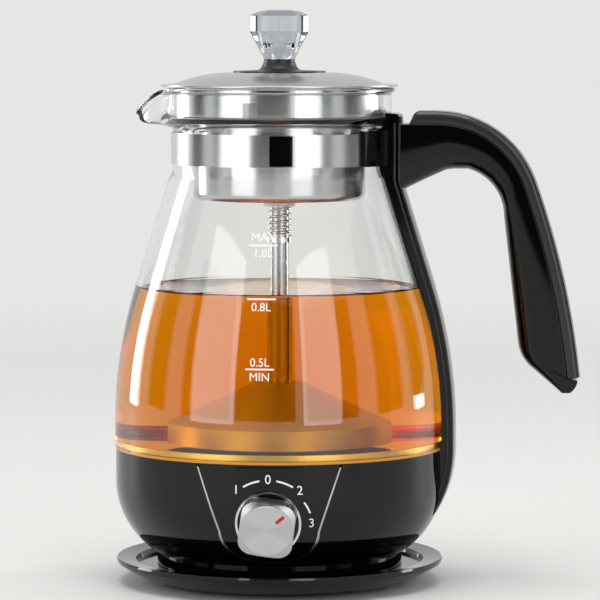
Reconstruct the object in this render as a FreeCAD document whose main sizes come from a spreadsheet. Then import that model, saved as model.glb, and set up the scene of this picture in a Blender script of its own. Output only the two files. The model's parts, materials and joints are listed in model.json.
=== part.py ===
import FreeCAD, Part
import os
from types import SimpleNamespace
import Sketcher

# A cordless tea maker. The jug's axis is Z, the underside of the base is at Z = 0,
# the selector knob faces -Y, the handle +X and the spout -X. All sizes are in millimetres.

SIZES = {
    # running gaps
    "gap": 0.3,
    "fit_gap": 0.05,
    "loose_gap": 0.5,
    # power base
    "base_set_in": 0.2,
    "base_rim_z": 8.6,
    "base_under_r": 55.0,
    "base_wall": 2.0,
    "recess_r": 60.0,
    "recess_z": 5.6,
    "cover_thick": 1.6,
    "foot_r": 5.5,
    "foot_drop": 2.0,
    "foot_ring_r": 47.0,
    "base_screw_ring_r": 40.0,
    "tower_r": 11.0,
    "tower_z": 19.0,
    "collar_wall": 3.0,
    "collar_tall": 5.0,
    "pin_r": 2.0,
    "pin_z": 22.5,
    "cord_bore_r": 3.4,
    "cord_hole_r": 2.4,
    "cord_z": 4.9,
    "gland_long": 14.0,
    "mid_face_r": 31.0,
    "mid_groove_wide": 1.0,
    "mid_groove_deep": 0.5,
    "contact_deep": 3.0,
    "contact_proud": 0.4,
    "contact_wide": 2.0,
    # housing
    "housing_set_in": 0.4,
    "housing_wall": 2.2,
    "housing_bend_r": 34.6,
    "housing_belly_z": 41.0,
    "housing_foot_r": 51.5,
    "housing_foot_z": 11.0,
    "housing_top_z": 54.8,
    "flange_wide": 4.7,
    "flange_thick": 1.8,
    "bottom_set_in": 1.4,
    "bottom_thick": 2.0,
    "post_r": 3.4,
    "post_tall": 6.0,
    "socket_wall": 2.5,
    "socket_z": 27.0,
    # glass
    "glass_r": 69.3,
    "glass_wall": 2.6,
    "glass_belly_z": 64.0,
    "glass_belly_bend_r": 200.0,
    "glass_slope_r": 60.1,
    "glass_slope_z": 124.0,
    "throat_start_r": 46.6,
    "throat_start_z": 167.0,
    "throat_bend_r": 17.0,
    "neck_r": 44.4,
    "throat_z": 173.4,
    "shoulder_z": 188.5,
    "collar_r": 47.0,
    "collar_z": 192.6,
    "rim_r": 48.3,
    "rim_z": 205.6,
    "rim_bead": 2.0,
    "spout_reach": 59.2,
    "spout_tip_z": 193.0,
    "spout_root_half": 17.0,
    "spout_tip_half": 7.0,
    "spout_droop": 9.6,
    # neck band
    "band_z": 173.7,
    "band_tall": 13.2,
    "band_thick": 1.0,
    "badge_wide": 9.5,
    "badge_thick": 0.6,
    "badge_turn": 4.7,
    # pan and heater
    "seal_thick": 1.2,
    "pan_thick": 1.0,
    "heat_plate_r": 50.0,
    "heat_plate_thick": 2.0,
    "element_ring_r": 40.0,
    "element_tube_r": 3.2,
    "element_leg_r": 1.6,
    "element_leg_long": 9.0,
    "pan_step": 1.5,
    "thermostat_r": 8.0,
    "thermostat_tall": 8.0,
    "thermostat_x": 12.0,
    "thermostat_y": 10.0,
    "thermostat_tab": 4.0,
    "fuse_x": -14.0,
    "fuse_y": -13.0,
    "fuse_half_long": 8.0,
    "fuse_half_wide": 2.0,
    "fuse_tall": 4.0,
    "clip_thick": 1.2,
    # control board
    "board_half": 26.0,
    "board_near_y": 8.0,
    "board_far_y": 34.0,
    "board_thick": 1.6,
    "board_post_x": 20.0,
    "board_post_y": 22.0,
    "relay_long": 14.0,
    "relay_wide": 12.0,
    "relay_tall": 6.4,
    "capacitor_long": 10.0,
    "capacitor_wide": 7.0,
    "capacitor_tall": 5.4,
    # spine and handle
    "spine_half": 12.0,
    "spine_thick": 5.0,
    "spine_cap_out": 7.6,
    "spine_cap_z": 195.0,
    "spine_tail_z": 27.5,
    "wing_turn": 38.0,
    "grip_half": 11.0,
    "handle_top_z": 196.0,
    "handle_bend_x": 66.0,
    "handle_bend_r": 44.0,
    "handle_knee_x": 107.5,
    "handle_knee_z": 166.8,
    "handle_sweep_r": 350.0,
    "handle_end_x": 126.0,
    "handle_end_z": 85.5,
    "handle_low_z": 78.8,
    "cover_strip": 5.3,
    "grip_root_z": 164.4,
    # control panel and knob
    "panel_top_half": 29.6,
    "panel_waist_half": 20.6,
    "panel_waist_z": 27.0,
    "panel_chin_half": 13.0,
    "panel_chin_z": 15.6,
    "panel_depth": 1.2,
    "panel_proud": 0.15,
    "trim_wide": 0.8,
    "knob_z": 31.0,
    "knob_set_in": 0.9,
    "knob_tilt": 10.0,
    "dial_r": 13.4,
    "dial_ring_wall": 0.9,
    "dial_ring_deep": 1.5,
    "dial_deep": 12.0,
    "switch_half": 9.0,
    "switch_deep": 7.0,
    "pointer_wide": 1.2,
    "pointer_long": 4.4,
    "pointer_in": 0.8,
    "pointer_sunk": 0.4,
    "pointer_proud": 0.1,
    "knob_side": 22.0,
    "knob_corner_r": 5.5,
    "knob_tall": 9.6,
    "knob_skin": 1.5,
    "knob_face_r": 10.3,
    "knob_turn": -8.0,
    "pointer_turn": -50.0,
    "shaft_r": 3.0,
    # basket
    "ring_clear": 0.8,
    "cup_clear": 5.8,
    "basket_wall": 0.8,
    "basket_floor_z": 158.5,
    "basket_corner_r": 3.0,
    "basket_hole_r": 0.9,
    "floor_hole_pitch": 6.0,
    "plate_hole_pitch": 7.0,
    "hole_edge": 5.0,
    "catch_wide": 6.5,
    "catch_tall": 9.4,
    "catch_turn": -9.8,
    # riser
    "tube_r": 4.0,
    "tube_wall": 0.6,
    "tube_top_z": 199.0,
    "bell_top_r": 8.0,
    "bell_top_z": 81.3,
    "bell_r": 35.3,
    "bell_skirt_z": 65.3,
    "bell_wall": 0.8,
    "spring_gap": 0.1,
    "spring_wire_r": 0.55,
    "spring_low_z": 142.6,
    "spring_tall": 13.0,
    "spring_turns": 5.0,
    "spring_low_pitch": 1.8,
    "collar_thick": 2.0,
    "bush_r": 6.5,
    "tube_clip_thick": 1.4,
    # press plate
    "plate_clear": 0.8,
    "plate_thick": 1.0,
    "plate_hub_r": 6.5,
    "plate_hub_tall": 6.0,
    # lid
    "lid_over": 1.3,
    "washer_r": 7.0,
    "washer_thick": 1.0,
    "button_thick": 1.0,
    "lid_flat_wide": 5.1,
    "lid_thick": 0.9,
    "lid_dome_tall": 5.0,
    "skirt_clear": 0.8,
    "lid_skirt_tall": 7.0,
    "button_r": 19.3,
    "stem_low_r": 8.0,
    "stem_high_r": 6.4,
    "stem_tall": 4.6,
    "crystal_r": 13.0,
    "crystal_cone_tall": 11.6,
    "crystal_side_tall": 6.4,
    "crystal_crown_tall": 2.5,
    "crystal_bevel": 4.0,
    # fasteners
    "screw_r": 1.4,
    "screw_head_r": 2.7,
    "screw_head_tall": 1.4,
    "bolt_r": 1.1,
    "bolt_head_r": 2.1,
}

doc = FreeCAD.newDocument("tea_maker")
sheet = doc.addObject("Spreadsheet::Sheet", "sizes")
for row, (alias, number) in enumerate(SIZES.items(), start=1):
    sheet.set("A%d" % row, alias)
    sheet.set("B%d" % row, str(number))
    sheet.setAlias("B%d" % row, alias)
doc.recompute()


class Size:
    """A length that carries both its number and the expression that gives it."""

    def __init__(self, number, text):
        self.number = number
        self.text = text

    def __add__(self, other):
        other = as_size(other)
        return Size(self.number + other.number, "(%s + %s)" % (self.text, other.text))

    def __sub__(self, other):
        other = as_size(other)
        return Size(self.number - other.number, "(%s - %s)" % (self.text, other.text))

    def __mul__(self, other):
        other = as_size(other)
        return Size(self.number * other.number, "(%s * %s)" % (self.text, other.text))

    def __truediv__(self, other):
        other = as_size(other)
        return Size(self.number / other.number, "(%s / %s)" % (self.text, other.text))

    def __neg__(self):
        return Size(-self.number, "(0 - %s)" % self.text)

    def __float__(self):
        return float(self.number)


def as_size(value):
    return value if isinstance(value, Size) else Size(float(value), "%g" % value)


S = SimpleNamespace(**{alias: Size(sheet.get(alias), "sizes." + alias) for alias in SIZES})
NODES = {}
Z_AXIS = FreeCAD.Vector(0, 0, 1)
X_AXIS = FreeCAD.Vector(1, 0, 0)
Y_AXIS = FreeCAD.Vector(0, 1, 0)


def bind(thing, prop, size):
    thing.setExpression(prop, as_size(size).text)


def node(thing, label):
    """Name a finished piece, which is written to a file of that name."""
    thing.Label = label
    NODES[label] = thing
    return thing


def sketch_on(body, role, name):
    sketch = body.newObject("Sketcher::SketchObject", name)
    plane = [feature for feature in body.Origin.OriginFeatures if feature.Role == role][0]
    sketch.AttachmentSupport = [(plane, "")]
    sketch.MapMode = "FlatFace"
    return sketch


def arc_through(start, end, radius):
    """The short arc between two points. A plus radius turns left, a minus radius turns right."""
    chord = end - start
    side = FreeCAD.Vector(-chord.y, chord.x, 0).normalize()
    rise = max(radius ** 2 - (chord.Length / 2) ** 2, 0.0) ** 0.5
    centre = (start + end) / 2 + side * (rise if radius > 0 else -rise)
    first, last = (start, end) if radius > 0 else (end, start)
    circle = Part.Circle(centre, Z_AXIS, abs(radius))
    return Part.ArcOfCircle(circle, circle.parameter(first), circle.parameter(last))


def draw(sketch, corners):
    """Draw one closed outline. A corner is (x, y), or (x, y, r) where an arc of radius r leads to it."""
    count = len(corners)
    spots = [FreeCAD.Vector(float(corner[0]), float(corner[1]), 0) for corner in corners]
    ends = []
    for i in range(count):
        start, end = spots[i], spots[(i + 1) % count]
        leading = corners[(i + 1) % count]
        if len(leading) == 3:
            geo = sketch.addGeometry(arc_through(start, end, float(leading[2])), False)
            ends.append((geo, 1, 2) if float(leading[2]) > 0 else (geo, 2, 1))
            held = sketch.addConstraint(Sketcher.Constraint("Radius", geo, abs(float(leading[2]))))
            length = as_size(leading[2])
            sketch.setExpression("Constraints[%d]" % held, "abs(%s)" % length.text)
        else:
            geo = sketch.addGeometry(Part.LineSegment(start, end), False)
            ends.append((geo, 1, 2))
    for i in range(count):
        geo, first, last = ends[i]
        following = ends[(i + 1) % count]
        sketch.addConstraint(Sketcher.Constraint("Coincident", geo, last, following[0], following[1]))
    for i in range(count):
        geo, first, last = ends[i]
        for kind, place in (("DistanceX", corners[i][0]), ("DistanceY", corners[i][1])):
            place = as_size(place)
            held = sketch.addConstraint(Sketcher.Constraint(kind, -1, 1, geo, first, place.number))
            sketch.setExpression("Constraints[%d]" % held, place.text)


def turned(name, corners):
    """A piece turned about Z from its half section, given as (radius, height) corners."""
    body = doc.addObject("PartDesign::Body", name)
    sketch = sketch_on(body, "XZ_Plane", name + "_section")
    draw(sketch, corners)
    turn = body.newObject("PartDesign::Revolution", name + "_turn")
    turn.Profile = sketch
    turn.ReferenceAxis = (sketch, ["V_Axis"])
    turn.Angle = 360
    return body


def ring(name, inner, outer, low, high):
    """A plain ring or disc between two heights."""
    return turned(name, [(inner, low), (outer, low), (outer, high), (inner, high)])


def slab(name, role, corners, deep):
    """A flat outline thickened to both sides of its plane."""
    body = doc.addObject("PartDesign::Body", name)
    sketch = sketch_on(body, role, name + "_outline")
    draw(sketch, corners)
    pad = body.newObject("PartDesign::Pad", name + "_pad")
    pad.Profile = sketch
    pad.SideType = "Symmetric"
    bind(pad, "Length", deep)
    return body


def put(thing, x, y, z):
    """Set a piece's place and bind it to the sizes it comes from."""
    thing.Placement.Base = FreeCAD.Vector(float(x), float(y), float(z))
    for letter, place in (("x", x), ("y", y), ("z", z)):
        bind(thing, "Placement.Base." + letter, place)
    return thing


def loosened(thing):
    """Keep a piece where it is and free its place, so that it can be turned to another frame."""
    for letter in "xyz":
        thing.setExpression("Placement.Base." + letter, None)
    return thing


def rod(name, radius, low, high, x=0, y=0):
    """A round bar along Z."""
    bar = doc.addObject("Part::Cylinder", name)
    bind(bar, "Radius", radius)
    bind(bar, "Height", as_size(high) - low)
    return put(bar, x, y, low)


def block(name, x, y, z):
    """A box from three (low, high) pairs."""
    box = doc.addObject("Part::Box", name)
    for prop, (low, high) in (("Length", x), ("Width", y), ("Height", z)):
        bind(box, prop, as_size(high) - low)
    return put(box, x[0], y[0], z[0])


def joined(name, *pieces):
    group = doc.addObject("Part::MultiFuse", name)
    group.Shapes = list(pieces)
    return group


def cut(name, base, *tools):
    result = doc.addObject("Part::Cut", name)
    result.Base = base
    result.Tool = tools[0] if len(tools) == 1 else joined(name + "_tools", *tools)
    return result


def common(name, base, tool):
    result = doc.addObject("Part::Common", name)
    result.Base = base
    result.Tool = tool
    return result


def gathered(name, *pieces):
    """Separate solids kept together as one piece of the list, such as four equal screws."""
    group = doc.addObject("Part::Compound", name)
    group.Links = list(pieces)
    return group


def turned_to(thing, axis, angle, place=FreeCAD.Vector()):
    """Turn a piece and put it at a place, which then replaces the place it was bound to."""
    loosened(thing).Placement = FreeCAD.Placement(place, FreeCAD.Rotation(axis, angle))
    return thing


def screw(name, x, y, head_z, tip_z):
    """A screw along Z whose head is at head_z and whose point is at tip_z."""
    up = float(tip_z) > float(head_z)
    head_end = as_size(head_z) + S.screw_head_tall if up else as_size(head_z) - S.screw_head_tall
    low, high = (head_z, head_end) if up else (head_end, head_z)
    head = rod(name + "_head", S.screw_head_r, low, high, x, y)
    low, high = (head_end, tip_z) if up else (tip_z, head_end)
    shank = rod(name + "_shank", S.screw_r, low, high, x, y)
    return joined(name, head, shank)


def around(count, start=0.0):
    """Directions spread evenly about Z, in degrees."""
    return [start + 360.0 * i / count for i in range(count)]


def aside(radius, angle):
    """The X and Y of a point at a radius and a direction, as sizes."""
    x = Size(float(radius) * cos_of(angle), "(%s * cos(%g))" % (as_size(radius).text, angle))
    y = Size(float(radius) * sin_of(angle), "(%s * sin(%g))" % (as_size(radius).text, angle))
    return x, y


def hole_rings(name, low, high, pitch, reach):
    """Drills for a perforated disc, in rings a pitch apart out to reach. The first ring clears the tube."""
    rings = range(2, int(float(reach) / float(pitch)) + 1)
    spots = [aside(pitch * i, angle) for i in rings for angle in around(6 * i)]
    return [rod(name, S.basket_hole_r, low, high, x, y) for x, y in spots]


def cos_of(angle):
    return FreeCAD.Rotation(Z_AXIS, angle).multVec(X_AXIS).x


def sin_of(angle):
    return FreeCAD.Rotation(Z_AXIS, angle).multVec(X_AXIS).y


# Radii that follow from the glass: housing and base are a shade narrower, basket and plate fit in its neck,
# and the lid reaches just over its rim
housing_r = S.glass_r - S.housing_set_in
base_rim_r = housing_r - S.base_set_in
basket_ring_r = S.collar_r - S.glass_wall - S.ring_clear
basket_r = S.neck_r - S.glass_wall - S.cup_clear
plate_r = basket_r - S.basket_wall - S.plate_clear
lid_r = S.rim_r + S.lid_over
lid_dome_r = lid_r - S.lid_flat_wide
spine_cap_x = S.neck_r + S.spine_cap_out

# Power base: the dish with its raised rim, its sunk floor and the hole for the tower
floor_under = S.recess_z - S.base_wall
tower_hole_r = S.tower_r + S.fit_gap
dish_shell = turned("dish_shell", [
    (S.base_under_r, 0),
    (base_rim_r - 0.5, S.base_rim_z - 2.2, 45),
    (base_rim_r, S.base_rim_z - 0.8),
    (base_rim_r - 0.6, S.base_rim_z),
    (S.recess_r + 0.6, S.base_rim_z - 1.0),
    (S.recess_r, S.recess_z),
    (tower_hole_r, S.recess_z),
    (tower_hole_r, floor_under),
    (S.base_under_r + 2.0, floor_under),
    (S.base_under_r - 1.0, S.cover_thick),
    (S.base_under_r - 1.0, 0),
])
screw_spots = [aside(S.base_screw_ring_r, angle) for angle in around(4, 45)]
bosses = [rod("base_boss", S.screw_head_r, S.cover_thick, floor_under + 0.5, x, y) for x, y in screw_spots]
boss_bores = [rod("boss_bore", S.screw_r, 0, S.recess_z - 0.6, x, y) for x, y in screw_spots]
gland_y = float(base_rim_r - S.gland_long) + 1
cord_bore = rod("cord_bore", S.cord_bore_r + S.fit_gap, 0, S.gland_long + 2)
turned_to(cord_bore, X_AXIS, -90, FreeCAD.Vector(0, gland_y - 2, float(S.cord_z)))
dish = cut("dish", joined("dish_solid", dish_shell, *bosses), *boss_bores, cord_bore)
node(dish, "base_dish")

# Bottom cover, with a shallow ring groove round the face that the maker stands level on
groove_out = S.mid_face_r + S.mid_groove_wide
cover_disc = turned("cover_disc", [
    (0, 0),
    (S.mid_face_r, 0),
    (S.mid_face_r, S.mid_groove_deep),
    (groove_out, S.mid_groove_deep),
    (groove_out, 0),
    (S.base_under_r - 1.0 - S.fit_gap, 0),
    (S.base_under_r - 1.0 - S.fit_gap, S.cover_thick),
    (0, S.cover_thick),
])
head_room = S.screw_head_r + S.fit_gap
heads = [rod("head_room", head_room, 0, S.screw_head_tall + 0.1, x, y) for x, y in screw_spots]
holes = [rod("screw_hole", S.screw_r + 0.1, 0, S.cover_thick, x, y) for x, y in screw_spots]
node(cut("bottom_cover", cover_disc, *heads, *holes), "base_bottom_cover")
node(gathered("base_screw_set", *[
    screw("base_screw", x, y, 0.1, S.recess_z - 0.8) for x, y in screw_spots
]), "base_screws")

# Four rubber feet under the cover
node(gathered("foot_set", *[
    rod("foot", S.foot_r, -S.foot_drop, 0, *aside(S.foot_ring_r, angle)) for angle in (25, 155, 205, 335)
]), "base_feet")

# Connector tower: a stepped round post with a ring contact on top and a pin in its middle
contact_out = S.tower_r - 2.5
contact_in = contact_out - S.contact_wide
node(turned("tower", [
    (S.pin_r, S.cover_thick),
    (S.tower_r + 5, S.cover_thick),
    (S.tower_r + 5, floor_under),
    (S.tower_r, floor_under),
    (S.tower_r, S.tower_z - 1),
    (S.tower_r - 1, S.tower_z),
    (contact_out, S.tower_z),
    (contact_out, S.tower_z - S.contact_deep),
    (contact_in, S.tower_z - S.contact_deep),
    (contact_in, S.tower_z),
    (S.pin_r, S.tower_z),
]), "base_connector")
node(ring("contact_ring", contact_in, contact_out, S.tower_z - S.contact_deep, S.tower_z + S.contact_proud),
     "base_contact_ring")
node(turned("centre_pin", [
    (0, S.cover_thick),
    (S.pin_r, S.cover_thick),
    (S.pin_r, S.pin_z - 1),
    (S.pin_r - 0.8, S.pin_z),
    (0, S.pin_z),
]), "base_contact_pin")
gland = cut("gland_body", rod("gland_sleeve", S.cord_bore_r, 0, S.gland_long),
            rod("gland_hole", S.cord_hole_r, 0, S.gland_long))
node(gland, "cord_gland")
turned_to(gland, X_AXIS, -90, FreeCAD.Vector(0, gland_y, float(S.cord_z)))

# Loose ring round the tower, which centres the jug and turns with it
collar_in = S.tower_r + S.gap + 0.1
collar_out = collar_in + S.collar_wall
collar_low = S.recess_z + S.gap
collar_high = collar_low + S.collar_tall
node(turned("centring", [
    (collar_in, collar_low),
    (collar_out, collar_low),
    (collar_out, collar_high - 1),
    (collar_out - 1, collar_high),
    (collar_in, collar_high),
]), "centring_ring")

# Jug housing: a black shell, drawn in at the foot, with a flange at the top for the seal and the glass
jug_low = S.recess_z + S.gap
housing_in = housing_r - S.housing_wall
foot_in = S.housing_foot_r - S.housing_wall
flange_in = housing_in - S.flange_wide
housing_shell = turned("housing_shell", [
    (S.housing_foot_r, jug_low),
    (S.housing_foot_r, S.housing_foot_z),
    (housing_r, S.housing_belly_z, S.housing_bend_r),
    (housing_r, S.housing_top_z),
    (flange_in, S.housing_top_z),
    (flange_in, S.housing_top_z - S.flange_thick),
    (housing_in, S.housing_top_z - S.flange_thick),
    (housing_in, S.housing_belly_z),
    (foot_in, S.housing_foot_z + S.housing_wall / 2, -(S.housing_bend_r - S.housing_wall)),
    (foot_in, jug_low),
])

# Front panel: a tongue let into the housing, with a fine bright line round it
def tongue(name, inset):
    """The tongue's outline, drawn in on every side by inset, as a thick slab along Y."""
    top = S.panel_top_half - inset
    waist = S.panel_waist_half - inset
    chin = S.panel_chin_half - inset / 2
    chin_z = S.panel_chin_z + inset
    top_z = S.housing_top_z - 0.4 - inset
    return slab(name, "XZ_Plane", [
        (-top, top_z),
        (-waist, S.panel_waist_z),
        (-chin, chin_z, 13),
        (chin, chin_z, 30),
        (waist, S.panel_waist_z, 13),
        (top, top_z),
    ], housing_r * 4)


def skin(name, proud, deep):
    """A thin band along the housing's outer side."""
    out = housing_r + proud
    inner = housing_r - deep
    foot_out = S.housing_foot_r + proud
    return turned(name, [
        (foot_out, S.housing_foot_z),
        (out, S.housing_belly_z, S.housing_bend_r + proud),
        (out, S.housing_top_z),
        (inner, S.housing_top_z),
        (inner, S.housing_belly_z),
        (S.housing_foot_r - deep, S.housing_foot_z, -(S.housing_bend_r - deep)),
    ])


def front_half(name):
    reach = housing_r + 10
    return block(name, (-reach, reach), (-reach, -20), (0, S.housing_top_z + 1))


# The knob's own frame: its axis points forward and a little down, and its plane is the dial's face
knob_spot = FreeCAD.Vector(0, -float(housing_r - S.knob_set_in), float(S.knob_z))
knob_frame = FreeCAD.Placement(knob_spot, FreeCAD.Rotation(X_AXIS, 90 + float(S.knob_tilt)))


def on_knob(thing, turn=0.0):
    """Move a piece that was built at the origin, facing +Z, to the knob's frame."""
    local = FreeCAD.Placement(FreeCAD.Vector(), FreeCAD.Rotation(Z_AXIS, turn)).multiply(thing.Placement)
    loosened(thing).Placement = knob_frame.multiply(local)
    return thing


recess_band = common("recess_band", skin("recess_skin", 1.0, S.panel_depth), front_half("recess_front"))
panel_recess = common("panel_recess", recess_band, tongue("recess_tongue", 0))
dial_bore = on_knob(rod("dial_bore", S.dial_r, -S.dial_deep, S.dial_deep))
spine_screw_z = S.housing_belly_z + 6
spine_screw_hole = rod("spine_screw_hole", S.screw_r + 0.1, 0, 12)
turned_to(spine_screw_hole, Y_AXIS, 90,
          FreeCAD.Vector(float(housing_in) - 4, 0, float(spine_screw_z)))
post_spots = [aside(foot_in - 5, angle) for angle in (45, 135, 225, 315)]
node(cut("housing", housing_shell, panel_recess, dial_bore, spine_screw_hole), "jug_housing")

panel_band = common("panel_band", skin("panel_skin", S.panel_proud, S.panel_depth), front_half("panel_front"))
panel_blank = common("panel_blank", panel_band, tongue("panel_tongue", S.trim_wide))
node(cut("panel", panel_blank, dial_bore), "control_panel")
trim_band = common("trim_band", skin("trim_skin", S.panel_proud, S.panel_depth), front_half("trim_front"))
trim_blank = common("trim_blank", trim_band, tongue("trim_outer", 0))
node(cut("trim", trim_blank, tongue("trim_inner", S.trim_wide)), "panel_trim")

# Dial collar, its bright ring, and the switch and board behind it
dial_in = S.dial_r - S.dial_ring_wall
node(on_knob(turned("dial_cup", [
    (S.shaft_r + 0.1, -S.dial_deep),
    (S.dial_r, -S.dial_deep),
    (S.dial_r, -S.dial_ring_deep),
    (dial_in, -S.dial_ring_deep),
    (dial_in, -0.3),
    (S.shaft_r + 0.1, -0.3),
])), "dial_collar")
node(on_knob(ring("dial_rim", dial_in, S.dial_r, -S.dial_ring_deep, 0)), "dial_ring")
switch_sides = (-S.switch_half, S.switch_half)
node(on_knob(block("switch_box", switch_sides, switch_sides, (-S.dial_deep - S.switch_deep, -S.dial_deep))),
     "selector_switch")

# Housing bottom: a plate with the connector socket in its middle, held by four screws
socket_in = collar_out + S.loose_gap
socket_out = socket_in + S.socket_wall
plate_low = jug_low + S.bottom_set_in
plate_high = plate_low + S.bottom_thick
plate_blank = ring("bottom_plate", socket_out, foot_in - S.fit_gap, plate_low, plate_high)
post_high = plate_high + S.post_tall
plate_posts = [rod("plate_post", S.post_r, plate_high, post_high, x, y) for x, y in post_spots]
post_bores = [rod("post_bore", S.screw_r, plate_low, post_high - 1, x, y) for x, y in post_spots]
head_in = plate_low + S.screw_head_tall
post_heads = [rod("post_head", head_room, plate_low, head_in, x, y) for x, y in post_spots]
node(cut("bottom_plate_cut", joined("bottom_plate_solid", plate_blank, *plate_posts),
         *post_bores, *post_heads), "housing_bottom")
node(gathered("housing_screw_set", *[
    screw("housing_screw", x, y, plate_low, post_high - 1.4) for x, y in post_spots
]), "housing_screws")
socket_roof = S.socket_z - 2.5
node(turned("socket", [
    (socket_in, plate_low - 1),
    (socket_out, plate_low - 1),
    (socket_out, S.socket_z),
    (S.pin_r + 0.6, S.socket_z),
    (S.pin_r + 0.6, socket_roof - 1.5),
    (S.pin_r + 2.5, socket_roof - 1.5),
    (S.pin_r + 2.5, socket_roof),
    (socket_in, socket_roof),
]), "jug_connector")
brush_low = S.tower_z + S.contact_proud + S.gap
node(ring("ring_brush", contact_in, contact_out, brush_low, socket_roof), "jug_ring_contact")
node(ring("pin_sleeve", S.pin_r + 0.2, S.pin_r + 0.6, socket_roof - 1.5, S.socket_z + 3), "jug_pin_contact")

# Seal, heater pan, heat plate and the bent heating element under it
seal_in = flange_in
pan_low = S.housing_top_z + S.seal_thick
pan_top = pan_low + S.pan_thick
pan_under = pan_low - S.pan_step
glass_in = S.glass_r - S.glass_wall
node(ring("seal_ring", seal_in, housing_r, S.housing_top_z, pan_low), "pan_seal")
node(turned("pan", [
    (0, pan_under),
    (seal_in - S.pan_step, pan_under),
    (seal_in - 0.2, pan_low),
    (glass_in - 0.4, pan_low),
    (glass_in - 0.4, pan_top + S.pan_step),
    (glass_in - 1.2, pan_top + S.pan_step),
    (glass_in - 1.2, pan_top),
    (seal_in - 0.6, pan_top),
    (seal_in - S.pan_step - 0.4, pan_top - S.pan_step),
    (0, pan_top - S.pan_step),
]), "heater_pan")
heat_low = pan_under - S.heat_plate_thick
node(ring("heat_disc", 0, S.heat_plate_r, heat_low, pan_under), "heat_plate")
element = doc.addObject("Part::Torus", "element_ring")
bind(element, "Radius1", S.element_ring_r)
bind(element, "Radius2", S.element_tube_r)
element.Angle3 = 310
element.Placement.Rotation = FreeCAD.Rotation(Z_AXIS, 115)
element_z = heat_low - S.element_tube_r - S.fit_gap
bind(element, "Placement.Base.z", element_z)
leg_spots = [aside(S.element_ring_r, angle) for angle in (111, 69)]
element_legs = [rod("element_leg", S.element_leg_r, element_z - S.element_leg_long, element_z, x, y)
                for x, y in leg_spots]
element_ends = [rod("element_end", S.element_tube_r, element_z - 3, element_z, x, y) for x, y in leg_spots]
node(joined("element", element, *element_ends, *element_legs), "heating_element")
can_low = heat_low - S.thermostat_tall
tab_far = S.thermostat_r + 2
thermostat_can = rod("thermostat_can", S.thermostat_r, can_low, heat_low, S.thermostat_x, S.thermostat_y)
thermostat_tabs = block("thermostat_tabs", (S.thermostat_x - tab_far, S.thermostat_x + tab_far),
                        (S.thermostat_y - 1, S.thermostat_y + 1), (can_low - S.thermostat_tab, can_low))
node(joined("thermostat_solid", thermostat_can, thermostat_tabs), "thermostat")
clip_under = heat_low - S.clip_thick
node(joined("fuse_solid",
            block("fuse_clip", (S.fuse_x - S.fuse_half_long - 2, S.fuse_x + S.fuse_half_long + 2),
                  (S.fuse_y - S.fuse_half_wide - 1, S.fuse_y + S.fuse_half_wide + 1), (clip_under, heat_low)),
            block("fuse_body", (S.fuse_x - S.fuse_half_long, S.fuse_x + S.fuse_half_long),
                  (S.fuse_y - S.fuse_half_wide, S.fuse_y + S.fuse_half_wide),
                  (clip_under - S.fuse_tall, clip_under))), "thermal_fuse")

# Control board on two posts of the housing bottom, with a relay and a capacitor
board_low = S.socket_z + 1
board_high = board_low + S.board_thick
board_blank = block("board_blank", (-S.board_half, S.board_half), (S.board_near_y, S.board_far_y),
                    (board_low, board_high))
board_legs = [rod("board_leg", S.pin_r, plate_high, board_low, x, S.board_post_y)
              for x in (S.board_post_x, -S.board_post_x)]
relay_x = -S.board_half + 6
relay_y = S.board_near_y + 6
capacitor_x = S.pin_r
capacitor_y = S.board_near_y + 5
relay = block("relay", (relay_x, relay_x + S.relay_long), (relay_y, relay_y + S.relay_wide),
              (board_high, board_high + S.relay_tall))
capacitor = block("capacitor", (capacitor_x, capacitor_x + S.capacitor_long),
                  (capacitor_y, capacitor_y + S.capacitor_wide), (board_high, board_high + S.capacitor_tall))
node(joined("board", board_blank, relay, capacitor, *board_legs), "control_board")

# Glass jug: two bends and a straight slope up to the throat, then the wider neck and its rim bead
def jug_side(out, low):
    """The glass side's corners from the foot to the throat, moved in by out."""
    return [
        (S.glass_r - out, low),
        (S.glass_r - out, S.glass_belly_z),
        (S.glass_slope_r - out, S.glass_slope_z, S.glass_belly_bend_r),
        (S.throat_start_r - out, S.throat_start_z),
        (S.neck_r - out, S.throat_z, -S.throat_bend_r),
        (S.neck_r - out, S.shoulder_z),
    ]


ledge_r = S.collar_r - S.glass_wall
outer_wall = jug_side(0, pan_low) + [
    (S.collar_r, S.collar_z),
    (S.collar_r, S.rim_z - S.rim_bead),
    (S.rim_r, S.rim_z - S.rim_bead / 2),
    (S.rim_r - 0.5, S.rim_z),
    (0, S.rim_z),
    (0, pan_low),
]
inner_space = jug_side(S.glass_wall, pan_low - 1)
inner_space[-1] = (S.neck_r - S.glass_wall, S.collar_z)
inner_space += [
    (ledge_r, S.collar_z),
    (ledge_r, S.rim_z + 1),
    (0, S.rim_z + 1),
    (0, pan_low - 1),
]


SPOUT_SECTIONS = 5


def spout_lofts(inset, first, last):
    """The beak, or the channel in it when inset is the wall, as a loft of rising half-round sections."""
    wires = []
    for i in range(SPOUT_SECTIONS):
        along = first + (last - first) * i / (SPOUT_SECTIONS - 1)
        root_x = float(S.collar_r) - 3
        x = -(root_x + (float(S.spout_reach) - root_x) * along)
        half = float(S.spout_root_half) - float(S.spout_root_half - S.spout_tip_half) * along - inset
        low = float(S.shoulder_z) + float(S.spout_tip_z - S.shoulder_z) * along + inset
        high = float(S.rim_z) - float(S.spout_droop) * max(along, 0.0) ** 2 + (1.5 if inset else 0.0)
        left = FreeCAD.Vector(x, -half, high)
        right = FreeCAD.Vector(x, half, high)
        keel = FreeCAD.Vector(x, 0, low)
        bowl = Part.Arc(left, keel, right).toShape()
        wires.append(Part.Wire([bowl, Part.LineSegment(right, left).toShape()]))
    return Part.makeLoft(wires, True, False)


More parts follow.
